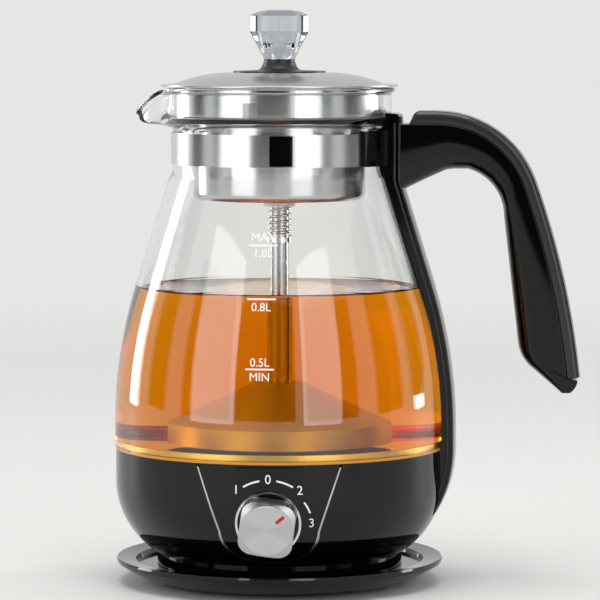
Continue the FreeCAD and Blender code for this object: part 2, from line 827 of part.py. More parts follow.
beak = doc.addObject("Part::Feature", "beak")
beak.Shape = spout_lofts(0.0, 0.0, 1.0)
channel = doc.addObject("Part::Feature", "beak_channel")
channel.Shape = spout_lofts(float(S.glass_wall) - 0.4, -0.25, 1.15)
glass_solid = joined("glass_solid", turned("glass_outer", outer_wall), beak)
node(cut("glass", glass_solid, turned("glass_inner", inner_space), channel), "glass_body")

# Neck band: an open steel hoop with two ears, a screw and a nut, and a blank plate at the front
band_high = S.band_z + S.band_tall
band_out = S.neck_r + S.fit_gap + S.band_thick
hoop = ring("hoop", S.neck_r + S.fit_gap, band_out, S.band_z, band_high)
ear_far_x = spine_cap_x - 2.5
ear_z = (S.band_z + 2.5, band_high - 2.5)
ears = [block("band_ear", (S.neck_r + 0.3, ear_far_x), pair, ear_z) for pair in ((-4, -3), (3, 4))]
band_mid = S.band_z + S.band_tall / 2
bolt_x = float(ear_far_x - S.bolt_head_r) + 0.4
ear_hole = turned_to(rod("ear_hole", S.bolt_r + 0.1, 0, 20), X_AXIS, 90,
                     FreeCAD.Vector(bolt_x, 10, float(band_mid)))
slot = block("band_slot", (40, ear_far_x + 1), (-3, 3), (S.band_z - 1, band_high + 1))
node(cut("band", joined("band_solid", hoop, *ears), slot, ear_hole), "neck_band")
band_screw = joined("band_bolt", rod("bolt_head", S.bolt_head_r, 0, S.screw_head_tall),
                    rod("bolt_shank", S.bolt_r, S.screw_head_tall, 12))
turned_to(band_screw, X_AXIS, 90, FreeCAD.Vector(bolt_x, 5.4, float(band_mid)))
node(band_screw, "band_screw")
nut = cut("nut", rod("nut_body", S.bolt_head_r, 0, 2), rod("nut_bore", S.bolt_r, 0, 2))
turned_to(nut, X_AXIS, 90, FreeCAD.Vector(bolt_x, -4, float(band_mid)))
node(nut, "band_nut")
badge_band = ring("badge_band", band_out, band_out + S.badge_thick, S.band_z + 0.4, band_high - 0.4)
badge_window = block("badge_window", (-S.badge_wide / 2, S.badge_wide / 2), (-60, 0),
                     (S.band_z, band_high))
badge = common("badge", badge_band, badge_window)
turned_to(badge, Z_AXIS, float(S.badge_turn))
node(badge, "band_badge")

# Spine: a strip up the handle side of the jug. It is shaped by what it lies on: housing, glass and band.
skirt_gap = S.fit_gap * 2
lies_on = turned("lies_on", [
    (0, jug_low),
    (S.housing_foot_r + S.fit_gap, jug_low),
    (S.housing_foot_r + S.fit_gap, S.housing_foot_z),
    (housing_r + S.fit_gap, S.housing_belly_z, S.housing_bend_r + S.fit_gap),
    (housing_r + S.fit_gap, pan_low),
] + jug_side(-skirt_gap, pan_low)[:-1] + [
    (band_out + skirt_gap, S.throat_z),
    (band_out + skirt_gap, band_high + S.fit_gap),
    (S.neck_r + skirt_gap, band_high + S.fit_gap),
    (S.neck_r + skirt_gap, S.shoulder_z),
    (S.collar_r + skirt_gap, S.collar_z),
    (S.collar_r + skirt_gap, S.rim_z),
    (0, S.rim_z),
])
spine_round = turned("spine_round", [
    (S.neck_r - 1, S.spine_cap_z),
    (S.neck_r - 1, S.throat_start_z),
    (S.glass_slope_r - 6, S.glass_slope_z - 16),
    (S.glass_slope_r - 6, S.spine_tail_z),
    (housing_r - 2.5, S.spine_tail_z),
    (S.glass_r + S.spine_thick, S.housing_top_z, 50),
    (S.glass_r + S.spine_thick, S.glass_belly_z),
    (S.glass_slope_r + S.spine_thick, S.glass_slope_z, S.glass_belly_bend_r + S.spine_thick),
    (spine_cap_x, S.throat_start_z),
    (spine_cap_x, S.spine_cap_z - 2),
    (spine_cap_x - 2, S.spine_cap_z, 2),
])
spine_window = block("spine_window", (0, S.glass_r + 10), (-S.spine_half, S.spine_half), (0, S.rim_z))
wing_ring = ring("wing_ring", S.neck_r, band_out + 1.8, S.band_z - 0.3, band_high + 1.2)
wing_far = housing_r
wing_half = Size(float(wing_far) * sin_of(float(S.wing_turn)) / cos_of(float(S.wing_turn)),
                 "(%s * tan(sizes.wing_turn))" % wing_far.text)
wing_wedge = slab("wing_wedge", "XY_Plane", [(0, 0), (wing_far, -wing_half), (wing_far, wing_half)],
                  S.rim_z * 2)
ear_pocket = block("ear_pocket", (S.neck_r - 4, ear_far_x + 0.6), (-8.5, 8.5),
                   (S.band_z + 1.5, band_high - 1.5))
bend_top_z = S.handle_top_z - S.cover_strip
screw_heights = (S.throat_start_z + 2.5, bend_top_z - 2.5)
grip_bores = [turned_to(rod("grip_bore", S.screw_r, 0, 16), Y_AXIS, 90,
                        FreeCAD.Vector(float(spine_cap_x) - 6, 0, float(height))) for height in screw_heights]
grip_heads = [turned_to(rod("grip_head", head_room, 0, 5), Y_AXIS, 90,
                        FreeCAD.Vector(float(spine_cap_x) - 8, 0, float(height))) for height in screw_heights]
tail_bore = turned_to(rod("tail_bore", S.screw_r, 0, 6), Y_AXIS, 90,
                      FreeCAD.Vector(float(housing_r) - 2, 0, float(spine_screw_z)))
spine_solid = joined("spine_solid", common("spine_strip", spine_round, spine_window),
                     common("spine_wings", wing_ring, wing_wedge))
node(cut("spine", spine_solid, lies_on, ear_pocket, tail_bore, *grip_bores, *grip_heads), "handle_spine")

# Grip: an open handle that leaves the spine at the top, bends down and ends in a flared tail
strip = S.cover_strip
knee_x = S.handle_knee_x - strip * 0.943
knee_z = S.handle_knee_z - strip * 0.332
tail_x = S.handle_end_x - strip
tail_z = S.handle_end_z - 1.0
root_x = spine_cap_x - 2
grip_blank = slab("grip_blank", "XZ_Plane", [
    (root_x, bend_top_z),
    (S.handle_bend_x, bend_top_z),
    (knee_x, knee_z, -(S.handle_bend_r - strip)),
    (tail_x, tail_z, -(S.handle_sweep_r - strip)),
    (S.handle_end_x - 0.8, tail_z - 0.4),
    (S.handle_end_x - 4.2, S.handle_low_z, -7),
    (S.handle_end_x - 8.4, S.handle_low_z),
    (S.handle_end_x - 21.5, S.handle_low_z + 11.2),
    (S.handle_end_x - 25.8, S.handle_low_z + 19.7, -15),
    (S.handle_knee_x - 13, S.handle_knee_z - 16.6),
    (S.handle_knee_x - 27.5, S.handle_knee_z + 5, 20),
    (S.handle_bend_x + 4, S.handle_knee_z + 5),
    (root_x, S.grip_root_z - 2.4, 40),
], S.grip_half * 2)
cover_blank = slab("cover_blank", "XZ_Plane", [
    (spine_cap_x + 2.5, bend_top_z),
    (spine_cap_x + 4, S.handle_top_z - 2.5),
    (spine_cap_x + 6.8, S.handle_top_z, -3),
    (S.handle_bend_x, S.handle_top_z),
    (S.handle_knee_x, S.handle_knee_z, -S.handle_bend_r),
    (S.handle_end_x, S.handle_end_z, -S.handle_sweep_r),
    (tail_x, tail_z),
    (knee_x, knee_z, S.handle_sweep_r - strip),
    (S.handle_bend_x, bend_top_z, S.handle_bend_r - strip),
], S.grip_half * 2)
node(cut("grip", grip_blank, spine_round, *grip_bores), "handle_grip")
node(cover_blank, "handle_cover")
side_screws = [turned_to(screw("grip_screw", 0, 0, 0, 15), Y_AXIS, 90,
                         FreeCAD.Vector(float(spine_cap_x) - 5.4, 0, float(height)))
               for height in screw_heights]
tail_screw = turned_to(screw("tail_screw", 0, 0, 0, 6.5), Y_AXIS, 90,
                       FreeCAD.Vector(float(housing_in - S.screw_head_tall) - 0.1, 0, float(spine_screw_z)))
node(gathered("handle_screw_set", *side_screws, tail_screw), "handle_screws")


# Selector knob: a rounded square cap over a plastic core, with a red pointer, on the switch's shaft
def rounded_square(name, side, corner, low, high):
    body = doc.addObject("PartDesign::Body", name)
    sketch = sketch_on(body, "XY_Plane", name + "_outline")
    half = as_size(side) / 2
    near = half - corner
    draw(sketch, [
        (-near, -half, corner),
        (near, -half),
        (half, -near, corner),
        (half, near),
        (near, half, corner),
        (-near, half),
        (-half, near, corner),
        (-half, -near),
    ])
    pad = body.newObject("PartDesign::Pad", name + "_pad")
    pad.Profile = sketch
    bind(pad, "Length", as_size(high) - low)
    return put(body, 0, 0, low)


cap_low = S.gap * 2
core_side = S.knob_side - S.knob_skin * 2
cap_outer = rounded_square("cap_outer", S.knob_side, S.knob_corner_r, cap_low, S.knob_tall)
cap_inner = rounded_square("cap_inner", core_side, S.knob_corner_r - S.knob_skin, cap_low - 1,
                           S.knob_tall - S.knob_skin)
square_turn = float(S.knob_turn)
pointer_twist = FreeCAD.Rotation(Z_AXIS, float(S.pointer_turn) - square_turn)
pointer_far = S.knob_face_r - S.pointer_in
pointer_y = (pointer_far - S.pointer_long, pointer_far)


def pointer_bar(name, low, high):
    bar = loosened(block(name, (-S.pointer_wide / 2, S.pointer_wide / 2), pointer_y, (low, high)))
    bar.Placement = FreeCAD.Placement(FreeCAD.Vector(), pointer_twist).multiply(bar.Placement)
    return bar


pointer_low = S.knob_tall - S.pointer_sunk
pointer_slot = pointer_bar("pointer_slot", pointer_low, S.knob_tall + 1)
node(on_knob(cut("cap", cap_outer, cap_inner, pointer_slot), square_turn), "knob_cap")
node(on_knob(pointer_bar("pointer", pointer_low, S.knob_tall + S.pointer_proud), square_turn), "knob_pointer")
core_solid = rounded_square("core_solid", core_side - S.fit_gap * 2, S.knob_corner_r - S.knob_skin, cap_low,
                            S.knob_tall - S.knob_skin)
core_bore = rod("core_bore", S.shaft_r, cap_low - 1, S.knob_tall - 3)
node(on_knob(cut("core", core_solid, core_bore), square_turn), "knob_core")
node(on_knob(rod("shaft", S.shaft_r, S.gap - S.dial_deep, S.knob_tall - 3)), "selector_shaft")

# Basket: a steel cup hung from an upper ring that rests on the ledge in the glass neck
basket_low = S.collar_z + S.gap
basket_high = S.rim_z
ring_low = basket_low + 1.0
ring_in = basket_ring_r - S.basket_wall
cup_in = basket_r - S.basket_wall
node(turned("upper_ring", [
    (basket_r + 1, ring_low),
    (basket_ring_r, ring_low),
    (basket_ring_r, basket_high),
    (ring_in - 0.6, basket_high),
    (ring_in - 0.6, basket_high - 0.8),
    (ring_in, basket_high - 0.8),
    (ring_in, ring_low + S.basket_wall),
    (basket_r + 1, ring_low + S.basket_wall),
]), "basket_ring")
floor_high = S.basket_floor_z + S.basket_wall
tube_hole_r = S.tube_r + 0.3
cup_shell = turned("cup_shell", [
    (tube_hole_r, S.basket_floor_z),
    (basket_r - S.basket_corner_r, S.basket_floor_z),
    (basket_r, S.basket_floor_z + S.basket_corner_r, S.basket_corner_r),
    (basket_r, ring_low),
    (basket_r + 1, ring_low),
    (basket_r + 1, ring_low + S.basket_wall),
    (cup_in, ring_low + S.basket_wall),
    (cup_in, S.basket_floor_z + S.basket_corner_r),
    (basket_r - S.basket_corner_r, floor_high, -(S.basket_corner_r - S.basket_wall)),
    (tube_hole_r, floor_high),
])
floor_holes = hole_rings("floor_hole", S.basket_floor_z - 1, floor_high + 1, S.floor_hole_pitch,
                         basket_r - S.hole_edge)
node(cut("cup", cup_shell, *floor_holes), "basket_cup")
node(ring("ring_seal", basket_ring_r - 2.5, basket_ring_r + 0.1, basket_low, ring_low), "basket_seal")
bush_low = S.spring_low_z + S.spring_tall
node(ring("bush", tube_hole_r, S.bush_r, bush_low, S.basket_floor_z), "tube_bush")
catch_mid = S.catch_wide / 2
catch_high = basket_high - 2.4
catch_block = block("catch_block", (-catch_mid, catch_mid), (-basket_ring_r - 5, -20),
                    (catch_high - S.catch_tall, catch_high))
catch_ring = ring("catch_ring", ring_in - 1.2, ring_in - S.fit_gap, ring_low + 1, basket_high - 1)
catch = common("catch", catch_ring, catch_block)
turned_to(catch, Z_AXIS, float(S.catch_turn))
node(catch, "basket_catch")

# Riser: the tube down to the steam bell, its spring under the basket and the clip above the floor
tube_in = S.tube_r - S.tube_wall
node(ring("tube", tube_in, S.tube_r, S.bell_top_z, S.tube_top_z), "riser_tube")
bell_low = pan_top + S.gap
node(turned("bell", [
    (S.bell_r - S.bell_wall, bell_low),
    (S.bell_r, bell_low),
    (S.bell_r, S.bell_skirt_z),
    (S.bell_top_r, S.bell_top_z),
    (tube_in, S.bell_top_z),
    (tube_in, S.bell_top_z - S.bell_wall),
    (S.bell_top_r - 0.4, S.bell_top_z - S.bell_wall),
    (S.bell_r - S.bell_wall, S.bell_skirt_z - 0.4),
]), "steam_bell")
spring_r = S.tube_r + S.spring_gap + S.spring_wire_r * 2
node(ring("spring_seat", S.tube_r, spring_r + 0.3, S.spring_low_z - S.collar_thick, S.spring_low_z),
     "tube_collar")
clip_low = floor_high + S.gap
tube_clip_high = clip_low + S.tube_clip_thick
node(ring("clip", S.tube_r, S.bush_r, clip_low, tube_clip_high), "tube_clip")


FULL_TURN = 6.283185307
SPRING_END_GAP = 0.1
SPRING_SAMPLES = 24


def spring_point(turns):
    """A point on the spring's centre line and the way on. The turns open out steadily from the bottom."""
    count = float(S.spring_turns)
    low_pitch = float(S.spring_low_pitch)
    room = float(S.spring_tall) - 2 * float(S.spring_wire_r) - 2 * SPRING_END_GAP
    growth = 2 * (room / count - low_pitch) / count
    rise = low_pitch * turns + growth * turns ** 2 / 2
    low = float(S.spring_low_z) + float(S.spring_wire_r) + SPRING_END_GAP
    radius = float(spring_r) - float(S.spring_wire_r)
    around_z = FreeCAD.Rotation(Z_AXIS, 360.0 * turns)
    spot = around_z.multVec(FreeCAD.Vector(radius, 0, low + rise))
    heading = around_z.multVec(FreeCAD.Vector(0, radius * FULL_TURN, low_pitch + growth * turns))
    return spot, heading.normalize()


def short_arc(start, control, end):
    """The arc from start to end whose tangents meet at control."""
    chord_mid = (start + end) / 2
    half_chord = start.distanceToPoint(end) / 2
    lean = (control - start).normalize().dot((end - start).normalize())
    sag = half_chord * ((1 - lean) / (1 + lean)) ** 0.5
    return Part.Arc(start, chord_mid + (control - chord_mid).normalize() * sag, end).toShape()


def spring_edges():
    """Two arcs to every quarter turn, each meeting the next in line."""
    edges = []
    for i in range(int(float(S.spring_turns) * 4)):
        start, leave = spring_point(i / 4)
        end, arrive = spring_point((i + 1) / 4)
        across = end - start
        blend = 1 - leave.dot(arrive)
        lean = across.dot(leave + arrive)
        reach = (-lean + (lean ** 2 + 2 * blend * across.dot(across)) ** 0.5) / (2 * blend)
        first, second = start + leave * reach, end - arrive * reach
        middle = (first + second) / 2
        edges.append(short_arc(start, first, middle))
        edges.append(short_arc(middle, second, end))
    return edges


spring_line = Part.Wire(Part.__sortEdges__(spring_edges()))
spring_start, spring_heading = spring_point(0)
spring_ring = Part.Wire([Part.makeCircle(float(S.spring_wire_r), spring_start, spring_heading)])
winding = Part.BRepOffsetAPI.MakePipeShell(spring_line)
winding.add(spring_ring)
winding.build()
winding.makeSolid()
spring = doc.addObject("Part::Feature", "spring")
spring.Shape = winding.shape()
node(spring, "tube_spring")
sample_count = int(float(S.spring_turns) * SPRING_SAMPLES) + 1
samples = [spring_point(i / SPRING_SAMPLES)[0] for i in range(sample_count)]
half_turn = SPRING_SAMPLES // 2
self_gap = min(a.distanceToPoint(b) for i, a in enumerate(samples) for b in samples[i + half_turn:])
print("spring: least gap to itself %.2f mm" % (self_gap - 2 * float(S.spring_wire_r)))

# Press plate: a perforated disc with a hub, loose on the tube, resting on the clip
hub_low = tube_clip_high + S.gap
plate_top = hub_low + S.plate_thick
plate_blank = turned("plate_shape", [
    (tube_hole_r, hub_low),
    (plate_r, hub_low),
    (plate_r, plate_top),
    (S.plate_hub_r, plate_top),
    (S.plate_hub_r - 0.8, hub_low + S.plate_hub_tall),
    (tube_hole_r, hub_low + S.plate_hub_tall),
])
plate_holes = hole_rings("plate_hole", hub_low - 1, plate_top + 1, S.plate_hole_pitch, plate_r - S.hole_edge)
node(cut("plate", plate_blank, *plate_holes), "press_plate")

# Lid: a shallow dome with a flat rim, a skirt that goes into the basket ring, and a faceted knob
lid_low = S.rim_z + S.gap
lid_flat = lid_low + S.lid_thick
dome_high = lid_flat + S.lid_dome_tall
node(turned("dome", [
    (S.screw_r + 0.1, dome_high - S.lid_thick),
    (S.button_r, dome_high - S.lid_thick),
    (lid_dome_r - 1, lid_low + 0.6, -60),
    (lid_dome_r, lid_low),
    (lid_r, lid_low),
    (lid_r, lid_flat),
    (lid_dome_r, lid_flat),
    (S.button_r, dome_high, 62),
    (S.screw_r + 0.1, dome_high),
]), "lid_dome")
lid_skirt_r = ring_in - 0.6 - S.skirt_clear
skirt_blank = ring("skirt_blank", lid_skirt_r - 0.8, lid_skirt_r, lid_low - S.lid_skirt_tall, dome_high)
node(cut("skirt", skirt_blank, turned("above_dome", [
    (0, dome_high - S.lid_thick),
    (S.button_r, dome_high - S.lid_thick),
    (lid_dome_r - 1, lid_low + 0.6, -60),
    (lid_dome_r - 1, dome_high + 1),
    (0, dome_high + 1),
])), "lid_skirt")
button_high = dome_high + S.button_thick
stem_high = button_high + S.stem_tall
node(turned("stem", [
    (S.screw_r, dome_high),
    (S.button_r, dome_high),
    (S.button_r, dome_high + 0.6),
    (S.stem_low_r + 1, button_high),
    (S.stem_low_r, button_high + 0.6),
    (S.stem_high_r, stem_high, -8),
    (S.screw_r, stem_high),
]), "knob_stem")
washer_high = dome_high - S.lid_thick
washer_low = washer_high - S.washer_thick
node(ring("lid_washer", S.screw_r + 0.1, S.washer_r, washer_low, washer_high), "knob_washer")
node(screw("lid_screw", 0, 0, washer_low - S.screw_head_tall, stem_high + 6), "knob_screw")


def facet_ring(name, radius, height):
    """One level of the faceted knob: a twelve-sided outline."""
    level = doc.addObject("Part::RegularPolygon", name)
    level.Polygon = 12
    bind(level, "Circumradius", radius)
    return put(level, 0, 0, height)


crystal_belly_z = stem_high + S.crystal_cone_tall
crystal_crown_z = crystal_belly_z + S.crystal_side_tall
crystal = doc.addObject("Part::Loft", "crystal")
crystal.Sections = [
    facet_ring("crystal_foot", S.stem_high_r, stem_high),
    facet_ring("crystal_belly", S.crystal_r, crystal_belly_z),
    facet_ring("crystal_crown", S.crystal_r, crystal_crown_z),
    facet_ring("crystal_table", S.crystal_r - S.crystal_bevel, crystal_crown_z + S.crystal_crown_tall),
]
crystal.Solid = True
crystal.Ruled = True
crystal_bore = rod("crystal_bore", S.screw_r, stem_high - 1, stem_high + 6.5)
node(cut("crystal_knob_cut", crystal, crystal_bore), "crystal_knob")


# Write every piece once the whole document is sound
doc.recompute()
faults = [thing.Label for thing in doc.Objects if "Invalid" in thing.State or "Error" in thing.State]
for label, thing in NODES.items():
    if thing.Shape.isNull() or not thing.Shape.isValid() or not thing.Shape.Solids:
        faults.append(label)
if faults:
    raise RuntimeError("These pieces failed: " + ", ".join(faults))
os.makedirs("parts", exist_ok=True)
for label, thing in NODES.items():
    thing.Shape.exportStep("parts/%s.step" % label)
    print("%-20s %d solids  %.1f mm3" % (label, len(thing.Shape.Solids), thing.Shape.Volume))
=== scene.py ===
import json
import math

import bmesh
import bpy
from mathutils import Matrix, Vector

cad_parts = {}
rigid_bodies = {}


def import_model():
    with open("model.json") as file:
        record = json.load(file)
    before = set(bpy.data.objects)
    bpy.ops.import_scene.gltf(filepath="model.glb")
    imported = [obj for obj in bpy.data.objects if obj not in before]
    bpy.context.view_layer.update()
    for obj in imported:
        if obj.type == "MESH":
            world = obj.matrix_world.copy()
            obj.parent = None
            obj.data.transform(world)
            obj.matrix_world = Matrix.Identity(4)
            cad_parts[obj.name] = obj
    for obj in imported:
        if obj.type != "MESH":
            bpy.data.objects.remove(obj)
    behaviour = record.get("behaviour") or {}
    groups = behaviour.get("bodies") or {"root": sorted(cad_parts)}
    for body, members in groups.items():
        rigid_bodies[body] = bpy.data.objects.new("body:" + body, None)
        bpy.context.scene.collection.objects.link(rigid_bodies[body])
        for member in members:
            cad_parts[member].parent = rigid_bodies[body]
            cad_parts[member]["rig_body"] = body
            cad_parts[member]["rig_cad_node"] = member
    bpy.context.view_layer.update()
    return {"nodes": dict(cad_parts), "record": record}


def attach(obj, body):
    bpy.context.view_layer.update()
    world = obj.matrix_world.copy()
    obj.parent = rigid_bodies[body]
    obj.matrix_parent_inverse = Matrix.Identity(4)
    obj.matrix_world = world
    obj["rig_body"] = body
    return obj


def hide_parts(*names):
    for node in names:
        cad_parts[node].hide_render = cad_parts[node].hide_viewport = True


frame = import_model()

# Lengths below are in millimetres. Meshes are built in metres.
MM = 0.001

# Jug outline, the same sizes as the solid parts
GLASS_R = 69.3
GLASS_WALL = 2.6
GLASS_LOW = 56.0
BELLY_Z = 64.0
SLOPE_R, SLOPE_Z = 60.1, 124.0
BELLY_BEND = 200.0
THROAT_R, THROAT_Z = 46.6, 167.0
THROAT_BEND = 17.0
NECK_R, NECK_Z = 44.4, 173.4
SHOULDER_Z = 188.5
COLLAR_R, COLLAR_Z = 47.0, 192.6
RIM_R, RIM_Z = 48.3, 205.6
SPOUT_REACH = 59.0
SPOUT_DROOP = 9.4
TEA_Z = 121.4

# Housing outline
HOUSING_R = 68.9
HOUSING_BEND = 34.6
HOUSING_BELLY_Z = 41.0
HOUSING_TOP_Z = 54.8

# Selector knob: its place on the housing and how far it leans down
KNOB_Y, KNOB_Z = -68.0, 31.0
KNOB_TILT = 10.0
KNOB_TURN = -8.0
POINTER_TURN = -50.0
DIAL_Z = 29.1
# Its cap: half width, corner radius, open end, and the slope from its edge up to the turned face
CAP_HALF, CAP_CORNER, CAP_LOW = 11.0, 5.5, 0.6
CAP_SLOPE_R, CAP_EDGE_Z, CAP_SLOPE = 13.6, 8.3, 0.3925

# Handle
SPINE_OUT_R = 74.3
SPINE_CAP_X = 52.0
HANDLE_TOP_Z = 196.0
HANDLE_BEND_R = 44.0
STRIP = 5.3
GRIP_HALF = 11.0
BEAD_WIDE, BEAD_LIFT = 0.9, 0.5

# Lid knob
STEM_HIGH = 217.4
CRYSTAL_BELLY_Z = 229.0
CRYSTAL_CROWN_Z = 235.4

# Half the width of the spout, as a turn about Z, the heater pan's floor, and where the level marks are
SPOUT_HALF_TURN = math.radians(24)
PAN_FLOOR_R, PAN_FLOOR_Z = 60.0, 55.5
MARK_TURN = -3.0
# Height of the level marks' letters, and how far prints stand off the glass and the panel
LEVEL_LETTER = 4.7
PRINT_ON_GLASS, PRINT_ON_PANEL = 0.06, 0.03

ROUND = 128


def srgb(text):
    """A linear colour from an sRGB hex value."""
    parts = [int(text[i:i + 2], 16) / 255 for i in (1, 3, 5)]
    linear = [p / 12.92 if p <= 0.04045 else ((p + 0.055) / 1.055) ** 2.4 for p in parts]
    return (*linear, 1.0)


def add_node(tree, kind, settings=None, values=None, links=None):
    """One shader node with its settings, its socket values and what is linked into it."""
    node = tree.nodes.new(kind)
    for name, value in (settings or {}).items():
        setattr(node, name, value)
    for name, value in (values or {}).items():
        node.inputs[name].default_value = value
    for name, (source, socket) in (links or {}).items():
        tree.links.new(source.outputs[socket], node.inputs[name])
    return node


def new_material(name):
    """A material with an empty node tree and its output node."""
    material = bpy.data.materials.new(name)
    material.use_nodes = True
    tree = material.node_tree
    tree.nodes.clear()
    return material, tree, tree.nodes.new("ShaderNodeOutputMaterial")


def surface(name, colour, metallic=0.0, roughness=0.4, smudge=0.0, smudge_mm=8.0, grain=0.0, grain_mm=0.3,
            stretch=(1, 1, 1), extra=None):
    """A moulded, cast or drawn surface: its colour, a soft change of gloss and a fine grain."""
    material, tree, output = new_material(name)
    shader = add_node(tree, "ShaderNodeBsdfPrincipled", values={
        "Base Color": srgb(colour), "Metallic": metallic, "Roughness": roughness})
    for socket, value in (extra or {}).items():
        shader.inputs[socket].default_value = value
    place = add_node(tree, "ShaderNodeTexCoord")
    spread = add_node(tree, "ShaderNodeMapping", values={"Scale": stretch}, links={"Vector": (place, "Object")})
    if smudge:
        cloud = add_node(tree, "ShaderNodeTexNoise", values={"Scale": 1000 / smudge_mm, "Detail": 3.0},
                         links={"Vector": (spread, "Vector")})
        gloss = add_node(tree, "ShaderNodeMapRange", values={
            "From Min": 0.3, "From Max": 0.7, "To Min": roughness - smudge, "To Max": roughness + smudge},
            links={"Value": (cloud, "Fac")})
        tree.links.new(gloss.outputs["Result"], shader.inputs["Roughness"])
    if grain:
        speck = add_node(tree, "ShaderNodeTexNoise", values={"Scale": 1000 / grain_mm, "Detail": 2.0},
                         links={"Vector": (spread, "Vector")})
        bump = add_node(tree, "ShaderNodeBump", values={"Strength": grain, "Distance": 0.0001},
                        links={"Height": (speck, "Fac")})
        tree.links.new(bump.outputs["Normal"], shader.inputs["Normal"])
    tree.links.new(shader.outputs["BSDF"], output.inputs["Surface"])
    return material


# Injection-moulded ABS with a mirror gloss, black: sharp reflections, faint ripple
gloss_abs = surface("gloss_black_abs", "#050506", roughness=0.07, smudge=0.015, smudge_mm=30, extra={"IOR": 1.4})
# The same ABS from a fine-textured mould: soft, broad highlights
satin_abs = surface("satin_black_abs", "#101011", roughness=0.34, smudge=0.05, smudge_mm=12, grain=0.12,
                    grain_mm=0.5)
# Smoked grey lacquer on the handle's outer strip; on the spine's beads the same grey is a painted highlight
cover_abs = surface("smoke_grey_cover", "#2c2d30", roughness=0.16, smudge=0.03, smudge_mm=20,
                    extra={"IOR": 1.42})
# Deep-drawn stainless steel, polished: crisp bands of light and dark
drawn_steel = surface("polished_drawn_steel", "#c9cacc", metallic=1.0, roughness=0.2, smudge=0.03, smudge_mm=10,
                      grain=0.05, grain_mm=0.8, stretch=(1, 1, 0.15))
# Stainless steel with a satin finish turned on a lathe
satin_steel = surface("satin_turned_steel", "#b9babc", metallic=1.0, roughness=0.27, smudge=0.02, smudge_mm=14,
                      grain=0.03, grain_mm=0.4)
# Blasted steel of the steam bell under the tea
pan_steel = surface("blasted_pan_steel", "#cfccc6", metallic=1.0, roughness=0.42, smudge=0.015, smudge_mm=12,
                    grain=0.1, grain_mm=0.6)
# Steel of the basket catch's raised lower half, greyer than the polished ring: painted shade that darkens that half
# against the bright upper half
painted_shade_catch_steel = surface("catch_steel_painted_shade", "#8b8c8e", metallic=1.0, roughness=0.36, smudge=0.03, smudge_mm=6)
# Gold-toned steel of the heater pan, and the warm silicone of the seal under the glass
gold_pan = surface("gold_toned_pan_steel", "#e9b23c", metallic=1.0, roughness=0.3, smudge=0.02, smudge_mm=12)
amber_seal = surface("amber_silicone_seal", "#c98a1c", roughness=0.35, smudge=0.03, smudge_mm=10)
# Chromed ring round the dial
chrome = surface("bright_chrome", "#d6d7d9", metallic=1.0, roughness=0.06, smudge=0.015, smudge_mm=12)
# Moulded silicone for seals and feet
silicone = surface("moulded_silicone", "#1a1a1a", roughness=0.62, grain=0.2, grain_mm=0.6)
# Bare brass contacts
brass = surface("bare_brass", "#c9a25a", metallic=1.0, roughness=0.28, smudge=0.08, smudge_mm=4)
# White PBT for connectors and switch
white_pbt = surface("white_pbt", "#d9d8d2", roughness=0.45, smudge=0.05, smudge_mm=6, grain=0.1)
# Glass-fibre board
board_green = surface("green_board", "#1f5a34", roughness=0.4, smudge=0.1, smudge_mm=3)
# Signal red paint on the pointer
red_paint = surface("red_pointer_paint", "#b3161e", roughness=0.35, grain=0.1)
# White ceramic ink printed on glass and panel
white_ink = surface("white_printed_ink", "#f2f2ef", roughness=0.5, grain=0.1)


def let_light_in(tree, shader, output):
    """Lets lamps shine through a clear material on to what it holds, instead of casting a solid shadow."""
    path = add_node(tree, "ShaderNodeLightPath")
    clear = add_node(tree, "ShaderNodeBsdfTransparent", values={"Color": srgb("#f4f6f5")})
    mixed = add_node(tree, "ShaderNodeMixShader", links={
        "Fac": (path, "Is Shadow Ray"), 1: (shader, "BSDF"), 2: (clear, "BSDF")})
    tree.links.new(mixed.outputs["Shader"], output.inputs["Surface"])


def clear_glass(name, ior, roughness, tint="#ffffff"):
    """Glass that bends light, tinted by the colour it is given: blown glass only a breath off clear, the crystal grey
    as painted shade.
    """
    material, tree, output = new_material(name)
    shader = add_node(tree, "ShaderNodeBsdfPrincipled", values={
        "Base Color": srgb(tint), "Transmission Weight": 1.0, "IOR": ior, "Roughness": roughness})
    let_light_in(tree, shader, output)
    return material


# Blown borosilicate glass: clear, with bright and dark edges where it turns away
blown_glass = clear_glass("blown_borosilicate_glass", 1.47, 0.0, "#fbfdfc")
# Cut lead crystal for the lid's knob: strong sparkle from flat facets. Its grey tint is painted shade, darkening the
# clear crystal as dark surroundings seen in its facets would.
cut_crystal = clear_glass("cut_lead_crystal", 1.56, 0.0, "#c3c8ce")


def brewed_tea():
    """Brewed black tea: clear water that takes up blue first, so it is amber where it is thin."""
    material, tree, output = new_material("brewed_tea")
    shader = add_node(tree, "ShaderNodeBsdfPrincipled", values={
        "Base Color": srgb("#ffffff"), "Transmission Weight": 1.0, "IOR": 1.33, "Roughness": 0.0})
    take_up = add_node(tree, "ShaderNodeVolumeAbsorption", values={"Color": srgb("#fde600"), "Density": 60.0})
    let_light_in(tree, shader, output)
    tree.links.new(take_up.outputs["Volume"], output.inputs["Volume"])
    return material


tea_liquid = brewed_tea()


def spun_metal():
    """Aluminium faced on a lathe: fine rings that spread each highlight across them."""
    material, tree, output = new_material("spun_aluminium_face")
    along = add_node(tree, "ShaderNodeTangent", {"direction_type": "UV_MAP", "uv_map": "spun"})
    shader = add_node(tree, "ShaderNodeBsdfPrincipled",
                      values={"Base Color": srgb("#c4c5c7"), "Metallic": 1.0, "Roughness": 0.3, "Anisotropic": 0.85},
                      links={"Tangent": (along, "Tangent")})
    tree.links.new(shader.outputs["BSDF"], output.inputs["Surface"])
    return material


spun_face = spun_metal()


def start_clean():
    """Leaves edit mode and deselects everything, so that an operator acts only on what comes next."""
    if bpy.context.object and bpy.context.object.mode != "OBJECT":
        bpy.ops.object.mode_set(mode="OBJECT")
    bpy.ops.object.select_all(action="DESELECT")
    bpy.context.tool_settings.mesh_select_mode = (True, False, False)


